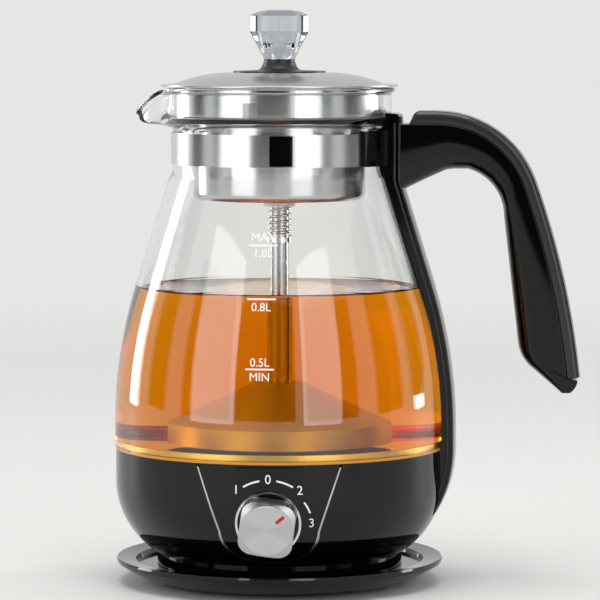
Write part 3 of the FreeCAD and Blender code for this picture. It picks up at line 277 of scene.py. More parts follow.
def pick(obj):
    """Selects one object alone and makes it the active one."""
    start_clean()
    obj.select_set(True)
    bpy.context.view_layer.objects.active = obj


def rounded(corners, closed=False, steps=5):
    """Points of an outline in a plane. A third number on a corner is the radius that rounds it, in millimetres."""
    points = []
    count = len(corners)
    for i, corner in enumerate(corners):
        spot = Vector(corner[:2])
        radius = corner[2] if len(corner) > 2 else 0
        if not radius or (not closed and i in (0, count - 1)):
            points.append(spot)
            continue
        back = (Vector(corners[i - 1][:2]) - spot)
        ahead = (Vector(corners[(i + 1) % count][:2]) - spot)
        half = back.angle(ahead) / 2
        reach = min(radius / math.tan(half), back.length * 0.49, ahead.length * 0.49)
        radius = reach * math.tan(half)
        centre = spot + (back.normalized() + ahead.normalized()).normalized() * (radius / math.sin(half))
        first, last = spot + back.normalized() * reach - centre, spot + ahead.normalized() * reach - centre
        turn = first.angle_signed(last)
        for k in range(steps + 1):
            points.append(centre + Matrix.Rotation(-turn * k / steps, 2) @ first)
    return points


def turned(name, corners, closed=True, sides=ROUND):
    """A piece turned about Z from (radius, height, rounding) corners: a wire drawn point by point, then spun."""
    points = [Vector((p.x, 0, p.y)) * MM for p in rounded(corners, closed)]
    if closed:
        points.append(points[0])
    start_clean()
    bpy.ops.mesh.primitive_plane_add(size=MM)
    obj = bpy.context.object
    obj.name = obj.data.name = name
    bpy.ops.object.mode_set(mode="EDIT")
    bpy.ops.mesh.merge(type="CENTER")
    bpy.ops.transform.translate(value=points[0])
    for before, after in zip(points, points[1:]):
        bpy.ops.mesh.extrude_region_move(TRANSFORM_OT_translate={"value": after - before})
    bpy.ops.mesh.select_all(action="SELECT")
    bpy.ops.mesh.spin(steps=sides, angle=math.tau, center=(0, 0, 0), axis=(0, 0, 1))
    bpy.ops.mesh.select_all(action="SELECT")
    bpy.ops.mesh.remove_doubles(threshold=1e-6)
    bpy.ops.mesh.normals_make_consistent(inside=False)
    bpy.ops.object.mode_set(mode="OBJECT")
    return obj


def flat_shape(name, corners, thick, steps=5):
    """A flat outline in the XY plane, thickened upwards by an extrusion."""
    points = [Vector((p.x, p.y, 0)) * MM for p in rounded(corners, True, steps)]
    start_clean()
    bpy.ops.mesh.primitive_plane_add(size=MM)
    obj = bpy.context.object
    obj.name = obj.data.name = name
    bpy.ops.object.mode_set(mode="EDIT")
    bpy.ops.mesh.merge(type="CENTER")
    bpy.ops.transform.translate(value=points[0])
    for before, after in zip(points, points[1:] + points[:1]):
        bpy.ops.mesh.extrude_region_move(TRANSFORM_OT_translate={"value": after - before})
    bpy.ops.mesh.select_all(action="SELECT")
    bpy.ops.mesh.remove_doubles(threshold=1e-6)
    bpy.ops.mesh.edge_face_add()
    bpy.ops.mesh.extrude_region_move(TRANSFORM_OT_translate={"value": (0, 0, thick * MM)})
    bpy.ops.mesh.select_all(action="SELECT")
    bpy.ops.mesh.normals_make_consistent(inside=False)
    bpy.ops.object.mode_set(mode="OBJECT")
    return obj


def apply(obj, kind, **settings):
    """Adds a modifier and applies it."""
    pick(obj)
    modifier = obj.modifiers.new(kind.lower(), kind)
    for key, value in settings.items():
        setattr(modifier, key, value)
    bpy.ops.object.modifier_apply(modifier=modifier.name)


def soften(obj, width, segments=2, angle=35.0):
    """Rounds a piece's sharp edges by a width in millimetres."""
    apply(obj, "BEVEL", width=width * MM, segments=segments, limit_method="ANGLE",
          angle_limit=math.radians(angle), use_clamp_overlap=True, harden_normals=False)


def place(obj, matrix):
    """Puts a piece where it belongs and leaves its object at the origin."""
    pick(obj)
    obj.matrix_world = matrix
    bpy.ops.object.transform_apply(location=True, rotation=True, scale=True)


def fit(obj, body, slot, material, *nodes, smooth=30.0):
    """Shades a finished piece, gives it its finish, says which body carries it and hides the solid parts it stands for.
    """
    pick(obj)
    bpy.ops.object.shade_smooth_by_angle(angle=math.radians(smooth))
    obj.data.materials.clear()
    obj.data.materials.append(material)
    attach(obj, body)
    if nodes:
        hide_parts(*nodes)
    return obj


def copied(node, name):
    """A copy of a solid part's mesh with its loose triangles merged, to be worked on further."""
    obj = frame["nodes"][node].copy()
    obj.data = obj.data.copy()
    obj.parent = None
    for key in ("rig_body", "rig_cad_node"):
        if key in obj:
            del obj[key]
    obj.name = obj.data.name = name
    bpy.context.scene.collection.objects.link(obj)
    pick(obj)
    bpy.ops.object.mode_set(mode="EDIT")
    bpy.ops.mesh.select_all(action="SELECT")
    bpy.ops.mesh.customdata_custom_splitnormals_clear()
    bpy.ops.mesh.remove_doubles(threshold=2e-6)
    bpy.ops.mesh.dissolve_limited(angle_limit=math.radians(0.6))
    bpy.ops.object.mode_set(mode="OBJECT")
    return obj


def arc_between(start, end, radius, steps=16):
    """Points of the short arc from start to end. A plus radius turns left, a minus radius turns right."""
    start, end = Vector(start), Vector(end)
    chord = end - start
    side = Vector((-chord.y, chord.x)).normalized()
    rise = math.sqrt(max(radius * radius - chord.length_squared / 4, 0))
    centre = (start + end) / 2 + side * (rise if radius > 0 else -rise)
    turn = (start - centre).angle_signed(end - centre)
    return [tuple(centre + Matrix.Rotation(-turn * k / steps, 2) @ (start - centre)) for k in range(steps + 1)]


def jug_wall(inset):
    """The jug's side from its foot to its shoulder, drawn in by inset."""
    belly = arc_between((GLASS_R, BELLY_Z), (SLOPE_R, SLOPE_Z), BELLY_BEND)
    throat = arc_between((THROAT_R, THROAT_Z), (NECK_R, NECK_Z), -THROAT_BEND, 6)
    side = [(GLASS_R, GLASS_LOW)] + belly + throat + [(NECK_R, SHOULDER_Z)]
    return [(radius - inset, height) for radius, height in side]


def jug_radius(height):
    """The outer radius of the glass at a height."""
    wall = jug_wall(0)
    for (r_low, z_low), (r_high, z_high) in zip(wall, wall[1:]):
        if z_low <= height <= z_high:
            return r_low + (r_high - r_low) * (height - z_low) / (z_high - z_low)
    return NECK_R


def smoothstep(value):
    value = min(max(value, 0.0), 1.0)
    return value * value * (3 - 2 * value)


def pull_spout(obj):
    """Draws the rim out into a pouring lip on the -X side, as a glass blower does with a tool."""
    reach = SPOUT_REACH - COLLAR_R
    for vertex in obj.data.vertices:
        x, y, z = vertex.co / MM
        turn = abs(math.atan2(y, -x))
        lift = smoothstep((z - SHOULDER_Z + 1.5) / (RIM_Z - SHOULDER_Z - 1.5))
        beak = max(1 - turn / SPOUT_HALF_TURN, 0.0)
        pull = smoothstep(beak) * 0.55 + beak ** 2.2 * 0.45
        radius = math.hypot(x, y)
        wanted = radius + reach * pull * lift
        sink = SPOUT_DROOP * (pull ** 1.6) * lift
        vertex.co = Vector((x * wanted / radius, y * wanted / radius, z - sink)) * MM


def blown_jug():
    """The glass jug: one wall of even thickness with a fire-polished rim bead and a pulled spout."""
    ledge = COLLAR_R - GLASS_WALL
    outer = jug_wall(0) + [
        (COLLAR_R, COLLAR_Z, 3), (COLLAR_R, RIM_Z - 2.4, 1.0), (RIM_R, RIM_Z - 1.6, 0.9), (RIM_R, RIM_Z - 0.05, 0.9),
        (ledge + 0.2, RIM_Z - 0.05, 0.9)]
    inner = [(ledge, COLLAR_Z + 0.6, 0.6), (NECK_R - GLASS_WALL, COLLAR_Z - 0.6, 0.6)]
    inner += list(reversed(jug_wall(GLASS_WALL)[:-1]))
    jug = turned("blown_glass_jug", fine_steps(outer + inner, 2.0))
    pull_spout(jug)
    fit(jug, "jug", "clear_glass", blown_glass, "glass_body", smooth=50)


def fine_steps(corners, longest):
    """The same outline with long straight sides above the shoulder divided, so that the spout bends smoothly."""
    divided = []
    for before, after in zip(corners, corners[1:] + corners[:1]):
        divided.append(before)
        length = math.dist(before[:2], after[:2])
        if min(before[1], after[1]) >= SHOULDER_Z - 1 and length > longest * 1.5:
            count = int(length / longest)
            for k in range(1, count):
                share = k / count
                divided.append((before[0] + (after[0] - before[0]) * share,
                                before[1] + (after[1] - before[1]) * share))
    return divided


def tea_fill():
    """The tea: it wets the glass, stands on the pan and climbs a little at its edge."""
    wet = 0.15
    wall = [(r + wet, z) for r, z in jug_wall(GLASS_WALL) if z < TEA_Z - 4]
    edge = jug_radius(TEA_Z) - GLASS_WALL + wet
    corners = [(0, PAN_FLOOR_Z + 0.05), (PAN_FLOOR_R, PAN_FLOOR_Z + 0.05), (PAN_FLOOR_R + 1.2, GLASS_LOW + 1.1)]
    corners += [(GLASS_R - GLASS_WALL + wet, GLASS_LOW + 1.1)] + [c for c in wall if c[1] > GLASS_LOW + 1.5]
    corners += [(edge, TEA_Z + 1.2), (edge - 0.7, TEA_Z + 0.35), (edge - 2.2, TEA_Z), (0, TEA_Z)]
    tea = turned("tea", corners, closed=False)
    fit(tea, "jug", "clear_glass", tea_liquid, smooth=40)


def wrap_on_glass(obj, turn, height):
    """Bends a flat print, drawn in XY with its middle at the origin, onto the front of the jug."""
    for vertex in obj.data.vertices:
        x, y, z = vertex.co / MM
        level = height + y
        radius = jug_radius(level) + PRINT_ON_GLASS + z
        angle = math.radians(turn) + x / jug_radius(height)
        vertex.co = Vector((radius * math.sin(angle), -radius * math.cos(angle), level)) * MM


def lettering(name, text, size, thick):
    """Raised letters with their middle at the origin, as a mesh fine enough to bend."""
    start_clean()
    bpy.ops.object.text_add()
    obj = bpy.context.object
    obj.name = name
    obj.data.body = text
    obj.data.size = size * MM
    obj.data.align_x, obj.data.align_y = "CENTER", "CENTER"
    obj.data.extrude = thick * MM / 2
    bpy.ops.object.convert(target="MESH")
    obj.data.name = name
    bpy.ops.object.mode_set(mode="EDIT")
    bpy.ops.mesh.select_all(action="SELECT")
    bpy.ops.mesh.remove_doubles(threshold=1e-7)
    bpy.ops.mesh.quads_convert_to_tris(quad_method="BEAUTY", ngon_method="BEAUTY")
    bpy.ops.object.mode_set(mode="OBJECT")
    return obj


def fit_prints(pieces, name):
    """Joins a group of prints into one piece of white ink on the jug."""
    start_clean()
    for piece in pieces:
        piece.select_set(True)
    bpy.context.view_layer.objects.active = pieces[0]
    bpy.ops.object.join()
    marks = bpy.context.object
    marks.name = marks.data.name = name
    fit(marks, "jug", "white_ceramic", white_ink)


def level_marks():
    """The printed scale on the front of the glass: a short line and a figure for each level."""
    ink = 0.08
    rows = [("mark_max", "MAX", 145.8), ("mark_1l", "1.0L", 139.4), ("mark_08l", "0.8L", 118.0),
            ("mark_05l", "0.5L", 96.0), ("mark_min", "MIN", 90.2)]
    half_long, half_wide = 5.8, 0.33
    bar = [(-half_long, -half_wide), (half_long, -half_wide), (half_long, half_wide), (-half_long, half_wide)]
    pieces = []
    for name, text, height in rows:
        word = lettering(name, text, LEVEL_LETTER, ink)
        wrap_on_glass(word, MARK_TURN, height)
        pieces.append(word)
    for i, height in enumerate((142.6, 121.3, 93.4)):
        line = flat_shape("level_line_%d" % i, bar, ink)
        pick(line)
        bpy.ops.object.mode_set(mode="EDIT")
        bpy.ops.mesh.select_all(action="SELECT")
        bpy.ops.mesh.subdivide(number_cuts=3)
        bpy.ops.object.mode_set(mode="OBJECT")
        wrap_on_glass(line, MARK_TURN, height)
        pieces.append(line)
    fit_prints(pieces, "level_marks")


def smoothed(node, body, slot, material):
    """A solid part kept in its own shape, with smooth shading."""
    return fit(copied(node, "finished_" + node), body, slot, material, node)


def between(outer, inner, share):
    """A pair of points, one on each edge of a strip, at a share of the strip's length."""
    pair = []
    for edge in (outer, inner):
        at = share * (len(edge) - 1)
        low = min(int(at), len(edge) - 2)
        pair.append(Vector(edge[low]).lerp(Vector(edge[low + 1]), at - low))
    return pair


def strip_bar(name, section, deep, edges, rings):
    """A bar whose section follows a strip: section x from 0 to deep goes from the strip's outer to its inner edge."""
    obj = flat_shape(name, section, 1.0, steps=7)
    pick(obj)
    bpy.ops.object.mode_set(mode="EDIT")
    bpy.ops.mesh.select_mode(type="EDGE")
    bpy.ops.mesh.select_all(action="DESELECT")
    shape = bmesh.from_edit_mesh(obj.data)
    for edge in shape.edges:
        edge.select_set(abs(edge.verts[0].co.z - edge.verts[1].co.z) > 0.5 * MM)
    bmesh.update_edit_mesh(obj.data)
    bpy.ops.mesh.subdivide(number_cuts=rings - 1)
    bpy.ops.object.mode_set(mode="OBJECT")
    for vertex in obj.data.vertices:
        x, y, z = vertex.co / MM
        outer, inner = between(*edges, min(max(z, 0.0), 1.0))
        spot = outer.lerp(inner, x / deep)
        vertex.co = Vector((spot.x, y, spot.y)) * MM
    bpy.ops.object.mode_set(mode="EDIT")
    bpy.ops.mesh.select_all(action="SELECT")
    bpy.ops.mesh.remove_doubles(threshold=1e-6)
    bpy.ops.mesh.normals_make_consistent(inside=False)
    bpy.ops.object.mode_set(mode="OBJECT")
    return obj


def evenly(*stretches):
    """Joins stretches of points, each spread to the same number of steps, into one edge of a strip."""
    steps, edge = 12, []
    for stretch in stretches:
        lengths = [0.0]
        for a, b in zip(stretch, stretch[1:]):
            lengths.append(lengths[-1] + math.dist(a, b))
        for k in range(steps):
            at = lengths[-1] * k / steps
            i = max(j for j in range(len(lengths) - 1) if lengths[j] <= at + 1e-9)
            part = (at - lengths[i]) / max(lengths[i + 1] - lengths[i], 1e-9)
            edge.append(tuple(Vector(stretch[i]).lerp(Vector(stretch[i + 1]), part)))
    return edge + [stretches[-1][-1]]


def handle():
    """The grip, swept from the spine round the bend to its flared tail, and the grey strip along its outside."""
    bend_mid = (66 + (HANDLE_BEND_R - STRIP) * math.sin(math.radians(35)),
                HANDLE_TOP_Z - HANDLE_BEND_R + (HANDLE_BEND_R - STRIP) * math.cos(math.radians(35)))
    top = HANDLE_TOP_Z - STRIP
    knee, tail = (102.5, 165.04), (120.7, 84.5)
    outer = evenly(
        [(48.5, top), (66, top)],
        arc_between((66, top), bend_mid, -(HANDLE_BEND_R - STRIP)),
        arc_between(bend_mid, knee, -(HANDLE_BEND_R - STRIP)),
        arc_between(knee, tail, -344.7),
        [tail, (125.0, 84.1)] + arc_between((125.0, 84.1), (121.8, 78.9), -7)[1:])
    inner = evenly(
        [(48.5, 161.4)] + arc_between((50, 161.9), (70, 171.4), -300),
        [(70, 171.4), (73, 171.8), (79, 171.8)],
        arc_between((79, 171.8), (94.0, 152.0), -20.5),
        [(94.0, 152.0), (100.2, 98.5)],
        arc_between((100.2, 98.5), (104.5, 90), 15) + [(117.6, 78.9)])
    deep = 22.0
    section = [(0, -GRIP_HALF, 0.7), (deep, -GRIP_HALF, 8.5), (deep, GRIP_HALF, 8.5), (0, GRIP_HALF, 0.7)]
    grip = strip_bar("moulded_grip", section, deep, (outer, inner), 90)
    soften(grip, 0.8, 3, 70)
    fit(grip, "jug", "black_gloss", gloss_abs, "handle_grip", smooth=40)

    outside = evenly(
        [(54.6, top), (55.9, 193.4)] + arc_between((55.9, 193.4), (58.8, HANDLE_TOP_Z), -3.2, 5)[1:]
        + [(66, HANDLE_TOP_Z)],
        arc_between((66, HANDLE_TOP_Z), (107.5, 166.8), -HANDLE_BEND_R),
        arc_between((107.5, 166.8), (126, 85.5), -350))
    inside = evenly(
        [(54.9, top), (66, top)],
        arc_between((66, top), knee, -(HANDLE_BEND_R - STRIP)),
        arc_between(knee, tail, -344.7))
    section = [(0, -GRIP_HALF, 4.2), (STRIP, -GRIP_HALF, 0.7), (STRIP, GRIP_HALF, 0.7), (0, GRIP_HALF, 4.2)]
    cover = strip_bar("lacquered_cover", section, STRIP, (outside, inside), 120)
    fit(cover, "jug", "cover_grey", cover_abs, "handle_cover", smooth=40)


def crystal():
    """The faceted lid knob: ten sides, a sloped crown and a cone of pointed facets below."""
    knob = turned("cut_crystal_knob", [
        (0, STEM_HIGH), (6.6, STEM_HIGH), (13.0, CRYSTAL_BELLY_Z), (13.0, CRYSTAL_CROWN_Z), (9.4, 237.1), (4.9, 237.9),
        (0, 237.9)], closed=False, sides=10)
    for vertex in knob.data.vertices:
        if vertex.co.z < (STEM_HIGH + 1) * MM:
            vertex.co = Matrix.Rotation(math.radians(18), 3, "Z") @ vertex.co
    place(knob, Matrix.Rotation(math.radians(18 + 3.6), 4, "Z"))
    pick(knob)
    bpy.ops.object.mode_set(mode="EDIT")
    bpy.ops.mesh.select_all(action="SELECT")
    bpy.ops.mesh.quads_convert_to_tris()
    bpy.ops.mesh.normals_make_consistent(inside=False)
    bpy.ops.object.mode_set(mode="OBJECT")
    soften(knob, 0.18, 1, 15)
    fit(knob, "lid", "clear_crystal", cut_crystal, "crystal_knob", smooth=1)


def knob_matrix(turn=0.0):
    """The knob's own frame: its axis points forward and a little down."""
    lean = Matrix.Rotation(math.radians(90 + KNOB_TILT), 4, "X")
    spot = Matrix.Translation(Vector((0, KNOB_Y, KNOB_Z)) * MM)
    return spot @ lean @ Matrix.Rotation(math.radians(turn), 4, "Z")


def square_reach(x, y):
    """How far a rounded square's outline is from its middle, in the direction of a point."""
    half, corner = CAP_HALF, CAP_CORNER
    size = math.hypot(x, y)
    if size < 1e-9:
        return half
    along, across = sorted((abs(x) / size, abs(y) / size), reverse=True)
    flat = half - corner
    if across / along * half <= flat:
        return half / along
    lean = flat * (along + across)
    return lean + math.sqrt(lean ** 2 - 2 * flat ** 2 + corner ** 2)


def selector_knob():
    """The spun knob: a rounded square cup turned off to a round face, with a red pointer let into it."""
    rings = [(0, CAP_LOW), (20, CAP_LOW), (20, 6.3)]
    rings += [(CAP_SLOPE_R - 0.4 * k, CAP_EDGE_Z + 0.157 * k) for k in range(9)] + [(0, 9.56)]
    cap = turned("spun_knob_cap", rings, closed=False, sides=160)
    for vertex in cap.data.vertices:
        x, y, z = vertex.co / MM
        radius, reach = math.hypot(x, y), square_reach(x, y)
        if radius > reach:
            level = CAP_LOW if z < 1 else CAP_EDGE_Z + CAP_SLOPE * (CAP_SLOPE_R - reach)
            vertex.co = Vector((x * reach / radius, y * reach / radius, level)) * MM
    pick(cap)
    bpy.ops.object.mode_set(mode="EDIT")
    bpy.ops.mesh.select_all(action="SELECT")
    bpy.ops.mesh.remove_doubles(threshold=2e-5)
    bpy.ops.mesh.normals_make_consistent(inside=False)
    bpy.ops.object.mode_set(mode="OBJECT")
    soften(cap, 0.3, 2, 25)
    place(cap, knob_matrix(KNOB_TURN))
    fit(cap, "selector_knob", "spun_aluminium", satin_steel, "knob_cap", "knob_core", smooth=24)

    face = turned("spun_knob_face", [
        (0, 9.56), (0, 9.62), (0.3, 9.62), (1.5, 9.62), (5, 9.62), (10.3, 9.62), (10.35, 9.56)],
        closed=False, sides=96)
    polar = face.data.uv_layers.new(name="spun")
    for loop in face.data.loops:
        spot = face.data.vertices[loop.vertex_index].co
        polar.data[loop.index].uv = (math.atan2(spot.y, spot.x) / math.tau % 1.0, spot.xy.length * 40)
    for polygon in face.data.polygons:
        turns = [polar.data[i].uv[0] for i in polygon.loop_indices]
        if max(turns) - min(turns) > 0.5:
            for i in polygon.loop_indices:
                if polar.data[i].uv[0] < 0.5:
                    polar.data[i].uv[0] += 1.0
    place(face, knob_matrix(KNOB_TURN))
    fit(face, "selector_knob", "spun_aluminium", spun_face)

    pointer = flat_shape("painted_pointer", [
        (-0.75, 5.0, 0.3), (0.75, 5.0, 0.3), (0.75, 9.3, 0.3), (-0.75, 9.3, 0.3)], 0.5)
    place(pointer, Matrix.Translation((0, 0, 9.2 * MM)))
    soften(pointer, 0.12)
    place(pointer, knob_matrix(POINTER_TURN))
    fit(pointer, "selector_knob", "pointer_red", red_paint, "knob_pointer")


def panel_radius(height):
    """The outer radius of the control panel at a height."""
    drop = max(HOUSING_BELLY_Z - height, 0)
    return HOUSING_R - HOUSING_BEND + math.sqrt(HOUSING_BEND ** 2 - drop ** 2) + 0.15


def print_on_panel(obj, x, height):
    """Moves a flat print, drawn in XY with its middle at the origin, onto the control panel."""
    for vertex in obj.data.vertices:
        across, up, out = vertex.co / MM
        level = height + up
        radius = panel_radius(level) + PRINT_ON_PANEL + out
        side = x + across
        vertex.co = Vector((side, -math.sqrt(radius ** 2 - side ** 2), level)) * MM


def heater_pan():
    """The pan under the tea, in a gold-toned steel, with a rim just inside the glass."""
    rim = GLASS_R - GLASS_WALL - 0.4
    pan = turned("pressed_heater_pan", [
        (0, 54.5), (PAN_FLOOR_R - 0.8, 54.5, 1), (PAN_FLOOR_R + 0.7, 56), (rim, 56), (rim, 58.5, 0.3),
        (rim - 0.8, 58.5, 0.3), (rim - 0.8, 57, 0.4), (PAN_FLOOR_R + 0.9, 57, 0.5),
        (PAN_FLOOR_R - 0.6, 55.5, 0.5), (0, 55.5)], closed=False)
    fit(pan, "jug", "satin_steel", gold_pan, "heater_pan")


def spine_beads():
    """Two raised beads down each flank of the handle's spine, which catch the light as thin lines. They are coloured
    the grey of the cover strip, lighter than the black spine, as a painted highlight.
    """
    edge = evenly(
        arc_between((66.9, 29.5), (SPINE_OUT_R, HOUSING_TOP_Z), 50),
        [(SPINE_OUT_R, HOUSING_TOP_Z), (SPINE_OUT_R, BELLY_Z)],
        arc_between((SPINE_OUT_R, BELLY_Z), (SLOPE_R + 5, SLOPE_Z), BELLY_BEND + 5),
        [(SLOPE_R + 5, SLOPE_Z), (SPINE_CAP_X, THROAT_Z)],
        [(SPINE_CAP_X, THROAT_Z), (SPINE_CAP_X, 191)])
    for side, flank in (("front", -12), ("back", 12)):
        lift = math.copysign(BEAD_LIFT, flank)
        for count, inset in enumerate((0.9, 2.9)):
            outer = [(x - inset, z) for x, z in edge]
            inner = [(x - BEAD_WIDE, z) for x, z in outer]
            section = [(0, flank - lift), (BEAD_WIDE, flank - lift), (BEAD_WIDE, flank + lift, 0.35),
                       (0, flank + lift, 0.35)]
            bead = strip_bar("spine_bead_%s_%d" % (side, count + 1), section, BEAD_WIDE, (outer, inner), 60)
            # Grey on the black spine: a painted highlight along each bead.
            fit(bead, "jug", "black_gloss", cover_abs, smooth=40)


def basket_catch():
    """The stamped catch on the outside of the basket's ring: a thin tab with a raised lower half, coloured greyer than
    the tab as painted shade.
    """
    ring_out, turn, low = 43.62, math.radians(-11.4), 193.9
    tab = flat_shape("catch_tab", [(-3.25, 0), (3.25, 0), (3.25, 9.3, 2.2), (-3.25, 9.3)], 0.3)
    step = flat_shape("stamped_catch", [(-3.2, 0.1), (3.0, 0.1), (3.0, 6.0, 0.3), (-3.2, 6.0, 0.3)], 0.3)
    for piece, lift in ((tab, 0.0), (step, 0.25)):
        pick(piece)
        bpy.ops.object.mode_set(mode="EDIT")
        bpy.ops.mesh.select_all(action="SELECT")
        bpy.ops.mesh.quads_convert_to_tris()
        bpy.ops.mesh.subdivide(number_cuts=2)
        bpy.ops.object.mode_set(mode="OBJECT")
        for vertex in piece.data.vertices:
            x, y, z = vertex.co / MM
            angle, radius = turn + x / ring_out, ring_out + z + lift
            vertex.co = Vector((radius * math.sin(angle), -radius * math.cos(angle), low + y)) * MM
    fit(tab, "basket", "bright_steel", drawn_steel, "basket_catch")
    # The raised lower half in greyer steel: painted shade.
    fit(step, "basket", "bright_steel", painted_shade_catch_steel)


def lid_dome():
    """The pressed lid: a shallow dome, steeper towards its edge, that ends in a flat rim."""
    rim, foot, top, skin = 49.6, 44.5, 211.8, 0.9
    over = arc_between((foot, 206.8), (19.3, top), 62, 24)
    under = arc_between((foot - 1, 206.5), (19.3, top - skin), 60, 24)
    dome = turned("pressed_lid_dome", [(2.9, top)] + over[::-1] + [(rim, 206.8, 0.3), (rim, 205.9, 0.3), (foot, 205.9)]
                  + under + [(2.9, top - skin)])
    fit(dome, "lid", "satin_steel", satin_steel, "lid_dome", smooth=20)


def panel_trim():
    """The silver line down both sides of the control panel; its top edge is under the glass."""
    trim = copied("panel_trim", "silver_panel_trim")
    pick(trim)
    bpy.ops.object.mode_set(mode="EDIT")
    bpy.ops.mesh.select_all(action="SELECT")
    bpy.ops.mesh.bisect(plane_co=(0, 0, 53.4 * MM), plane_no=(0, 0, 1), use_fill=True, clear_outer=True)
    bpy.ops.object.mode_set(mode="OBJECT")
    fit(trim, "jug", "bright_steel", satin_steel, "panel_trim")


def dial_marks():
    """White figures round the dial and the strokes between them."""
    ink = 0.07
    pieces = []
    for figure, turn, reach in (("1", -40, 20.2), ("0", 0, 19.8), ("2", 40, 20.0), ("3", 84, 17.5)):
        mark = lettering("dial_figure_" + figure, figure, 5.2, ink)
        angle = math.radians(turn)
        print_on_panel(mark, reach * math.sin(angle), DIAL_Z + reach * math.cos(angle))
        pieces.append(mark)
    for first, last, radius in ((-31, -10, 19.6), (10, 31, 19.6), (54, 70, 18.0)):
        steps = 8
        turns = [math.radians(first + (last - first) * k / steps) for k in range(steps + 1)]
        rim = [(math.sin(t) * (radius + 0.35), math.cos(t) * (radius + 0.35)) for t in turns]
        rim += [(math.sin(t) * (radius - 0.35), math.cos(t) * (radius - 0.35)) for t in reversed(turns)]
        stroke = flat_shape("dial_stroke_%d" % (first + 90), rim, ink)
        print_on_panel(stroke, 0, DIAL_Z)
        pieces.append(stroke)
    fit_prints(pieces, "dial_marks")


FINISHES = {
    "black_gloss": gloss_abs, "black_matte": satin_abs, "smoke_panel": gloss_abs, "cover_grey": cover_abs,
    "satin_steel": satin_steel, "bright_steel": drawn_steel, "spun_aluminium": satin_steel,
    "clear_glass": blown_glass, "clear_crystal": cut_crystal, "silicone": silicone, "contact_brass": brass,
    "board_green": board_green, "pointer_red": red_paint, "white_ceramic": white_pbt}


def dress_solid_parts():
    """Gives each solid part the finish of its material slot."""
    for row in frame["record"]["materials"]:
        for name in row.get("nodes", []):
            mesh = frame["nodes"][name].data
            mesh.materials.clear()
            mesh.materials.append(FINISHES[row["slot"]])


dress_solid_parts()


blown_jug()
tea_fill()
level_marks()
handle()
spine_beads()
crystal()
selector_knob()
dial_marks()
smoothed("jug_housing", "jug", "black_gloss", gloss_abs)
smoothed("control_panel", "jug", "smoke_panel", gloss_abs)
smoothed("dial_collar", "jug", "black_gloss", gloss_abs)
smoothed("dial_ring", "jug", "bright_steel", chrome)
smoothed("neck_band", "jug", "bright_steel", drawn_steel)
smoothed("band_badge", "jug", "black_gloss", gloss_abs)
smoothed("basket_ring", "basket", "bright_steel", drawn_steel)
smoothed("basket_cup", "basket", "bright_steel", drawn_steel)
basket_catch()
smoothed("riser_tube", "riser", "bright_steel", satin_steel)
smoothed("steam_bell", "riser", "satin_steel", pan_steel)
smoothed("press_plate", "plate", "satin_steel", satin_steel)
lid_dome()
smoothed("lid_skirt", "lid", "satin_steel", satin_steel)
smoothed("knob_stem", "lid", "black_gloss", satin_abs)
heater_pan()
panel_trim()
smoothed("pan_seal", "jug", "silicone", amber_seal)
smoothed("base_dish", "power_base", "black_gloss", gloss_abs)
smoothed("handle_spine", "jug", "black_gloss", gloss_abs)

# Colour of the background, and the height in metres that the lamps aim at
PALE = "#e6e6e4"
JUG_MIDDLE = 0.12
card_cloth = surface("dark_card_cloth", "#0a0a0a", roughness=0.9)


def camera():
    """The camera, level with the lid and a little right of the front, as in the photograph."""
    distance, pitch, turn = 1550.0, math.radians(4.4), math.radians(3.6)
    aside, aim = 8.61, 116.34
    out = Vector((math.sin(turn), -math.cos(turn), 0.0))
    across = Vector((math.cos(turn), math.sin(turn), 0.0))
    target = across * aside + Vector((0, 0, aim))
    place = target + out * distance * math.cos(pitch) + Vector((0, 0, distance * math.sin(pitch)))
    data = bpy.data.cameras.new("front_camera")
    data.lens, data.sensor_width = 221.4, 36.0
    data.clip_end = 60.0
    obj = bpy.data.objects.new("front_camera", data)
    obj.location = place * MM
    obj.rotation_euler = (target - place).to_track_quat("-Z", "Y").to_euler()
    bpy.context.scene.collection.objects.link(obj)
    bpy.context.scene.camera = obj


def softbox(name, azimuth, height, distance, wide, tall, power):
    """A flat lamp that looks at the jug from one side, azimuth counted from the front to the right."""
    angle = math.radians(azimuth)
    data = bpy.data.lights.new(name, "AREA")
    data.shape, data.size, data.size_y, data.energy = "RECTANGLE", wide, tall, power
    obj = bpy.data.objects.new(name, data)
    obj.location = (math.sin(angle) * distance, -math.cos(angle) * distance, height)
    aim = Vector((0, 0, JUG_MIDDLE)) - obj.location
    obj.rotation_euler = aim.to_track_quat("-Z", "Y").to_euler()
    obj.visible_camera = False
    bpy.context.scene.collection.objects.link(obj)


def dark_card(name, azimuth, distance, wide, tall):
    """A dark upright card beyond the lamps, which polished steel and glass need to show their shape."""
    angle = math.radians(azimuth)
    spot = (math.sin(angle) * distance, -math.cos(angle) * distance, tall / 2)
    bpy.ops.mesh.primitive_plane_add(size=1, location=spot, rotation=(math.radians(90), 0, angle))
    card = bpy.context.object
    card.name = card.data.name = name
    card.scale = (wide, tall, 1)
    card.visible_camera = card.visible_diffuse = card.visible_shadow = False
    card.data.materials.append(card_cloth)


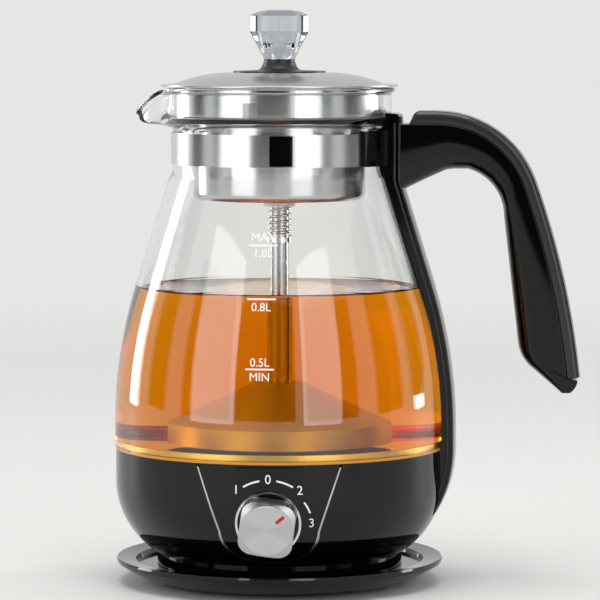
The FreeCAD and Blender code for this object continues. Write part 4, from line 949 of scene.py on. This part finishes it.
def studio():
    """Pale floor, pale surroundings and soft lamps."""
    bpy.ops.mesh.primitive_circle_add(vertices=64, radius=30, fill_type="NGON", location=(0, 0, -0.002))
    floor = bpy.context.object
    material, tree, output = new_material("pale_floor")
    shader = add_node(tree, "ShaderNodeBsdfPrincipled", values={"Base Color": srgb("#dcdbd9"), "Roughness": 0.6})
    glow = add_node(tree, "ShaderNodeEmission", values={"Color": srgb(PALE), "Strength": 1.0})
    place = add_node(tree, "ShaderNodeTexCoord")
    reach = add_node(tree, "ShaderNodeVectorMath", {"operation": "LENGTH"}, links={0: (place, "Object")})
    far = add_node(tree, "ShaderNodeMapRange", {"interpolation_type": "SMOOTHSTEP"},
                   {"From Min": 0.25, "From Max": 1.6}, {"Value": (reach, "Value")})
    mixed = add_node(tree, "ShaderNodeMixShader", links={
        "Fac": (far, "Result"), 1: (shader, "BSDF"), 2: (glow, "Emission")})
    tree.links.new(mixed.outputs["Shader"], output.inputs["Surface"])
    floor.data.materials.append(material)
    floor.name = floor.data.name = "floor"

    world = bpy.data.worlds.new("studio_room")
    bpy.context.scene.world = world
    world.use_nodes = True
    tree = world.node_tree
    tree.nodes.clear()
    path = add_node(tree, "ShaderNodeLightPath")
    clear = add_node(tree, "ShaderNodeMath", {"operation": "MAXIMUM"},
                     links={0: (path, "Is Glossy Ray"), 1: (path, "Is Transmission Ray")})
    seen = add_node(tree, "ShaderNodeMath", {"operation": "MAXIMUM"},
                    links={0: (path, "Is Camera Ray"), 1: (clear, "Value")})
    room = add_node(tree, "ShaderNodeBackground", values={"Color": srgb("#ffffff"), "Strength": 0.42})
    behind = add_node(tree, "ShaderNodeBackground", values={"Color": srgb(PALE), "Strength": 1.0})
    mixed = add_node(tree, "ShaderNodeMixShader", links={
        "Fac": (seen, "Value"), 1: (room, "Background"), 2: (behind, "Background")})
    add_node(tree, "ShaderNodeOutputWorld", links={"Surface": (mixed, "Shader")})

    # Lamps: azimuth, height, distance, width, height of the panel, watts
    for name, *sizes in (("left_softbox", -44, 0.35, 1.6, 0.95, 1.5, 10), ("right_softbox", 34, 0.35, 1.6, 0.8, 1.5, 8),
                         ("left_rim", -118, 0.3, 1.5, 0.3, 1.4, 10), ("right_rim", 118, 0.3, 1.5, 0.3, 1.4, 10),
                         ("overhead", 0, 1.7, 0.2, 1.2, 1.2, 18)):
        softbox(name, *sizes)
    # Cards: azimuth, distance, width, height
    for name, *sizes in (("front_card", -6, 2.6, 2.0, 1.6), ("front_left_card", -50, 2.8, 1.9, 1.6),
                         ("front_right_card", 42, 2.8, 1.9, 1.6), ("left_card", -92, 2.6, 0.8, 1.6),
                         ("right_card", 88, 2.6, 1.1, 1.6)):
        dark_card(name, *sizes)


bpy.context.scene.view_settings.view_transform = "Standard"
camera()
studio()
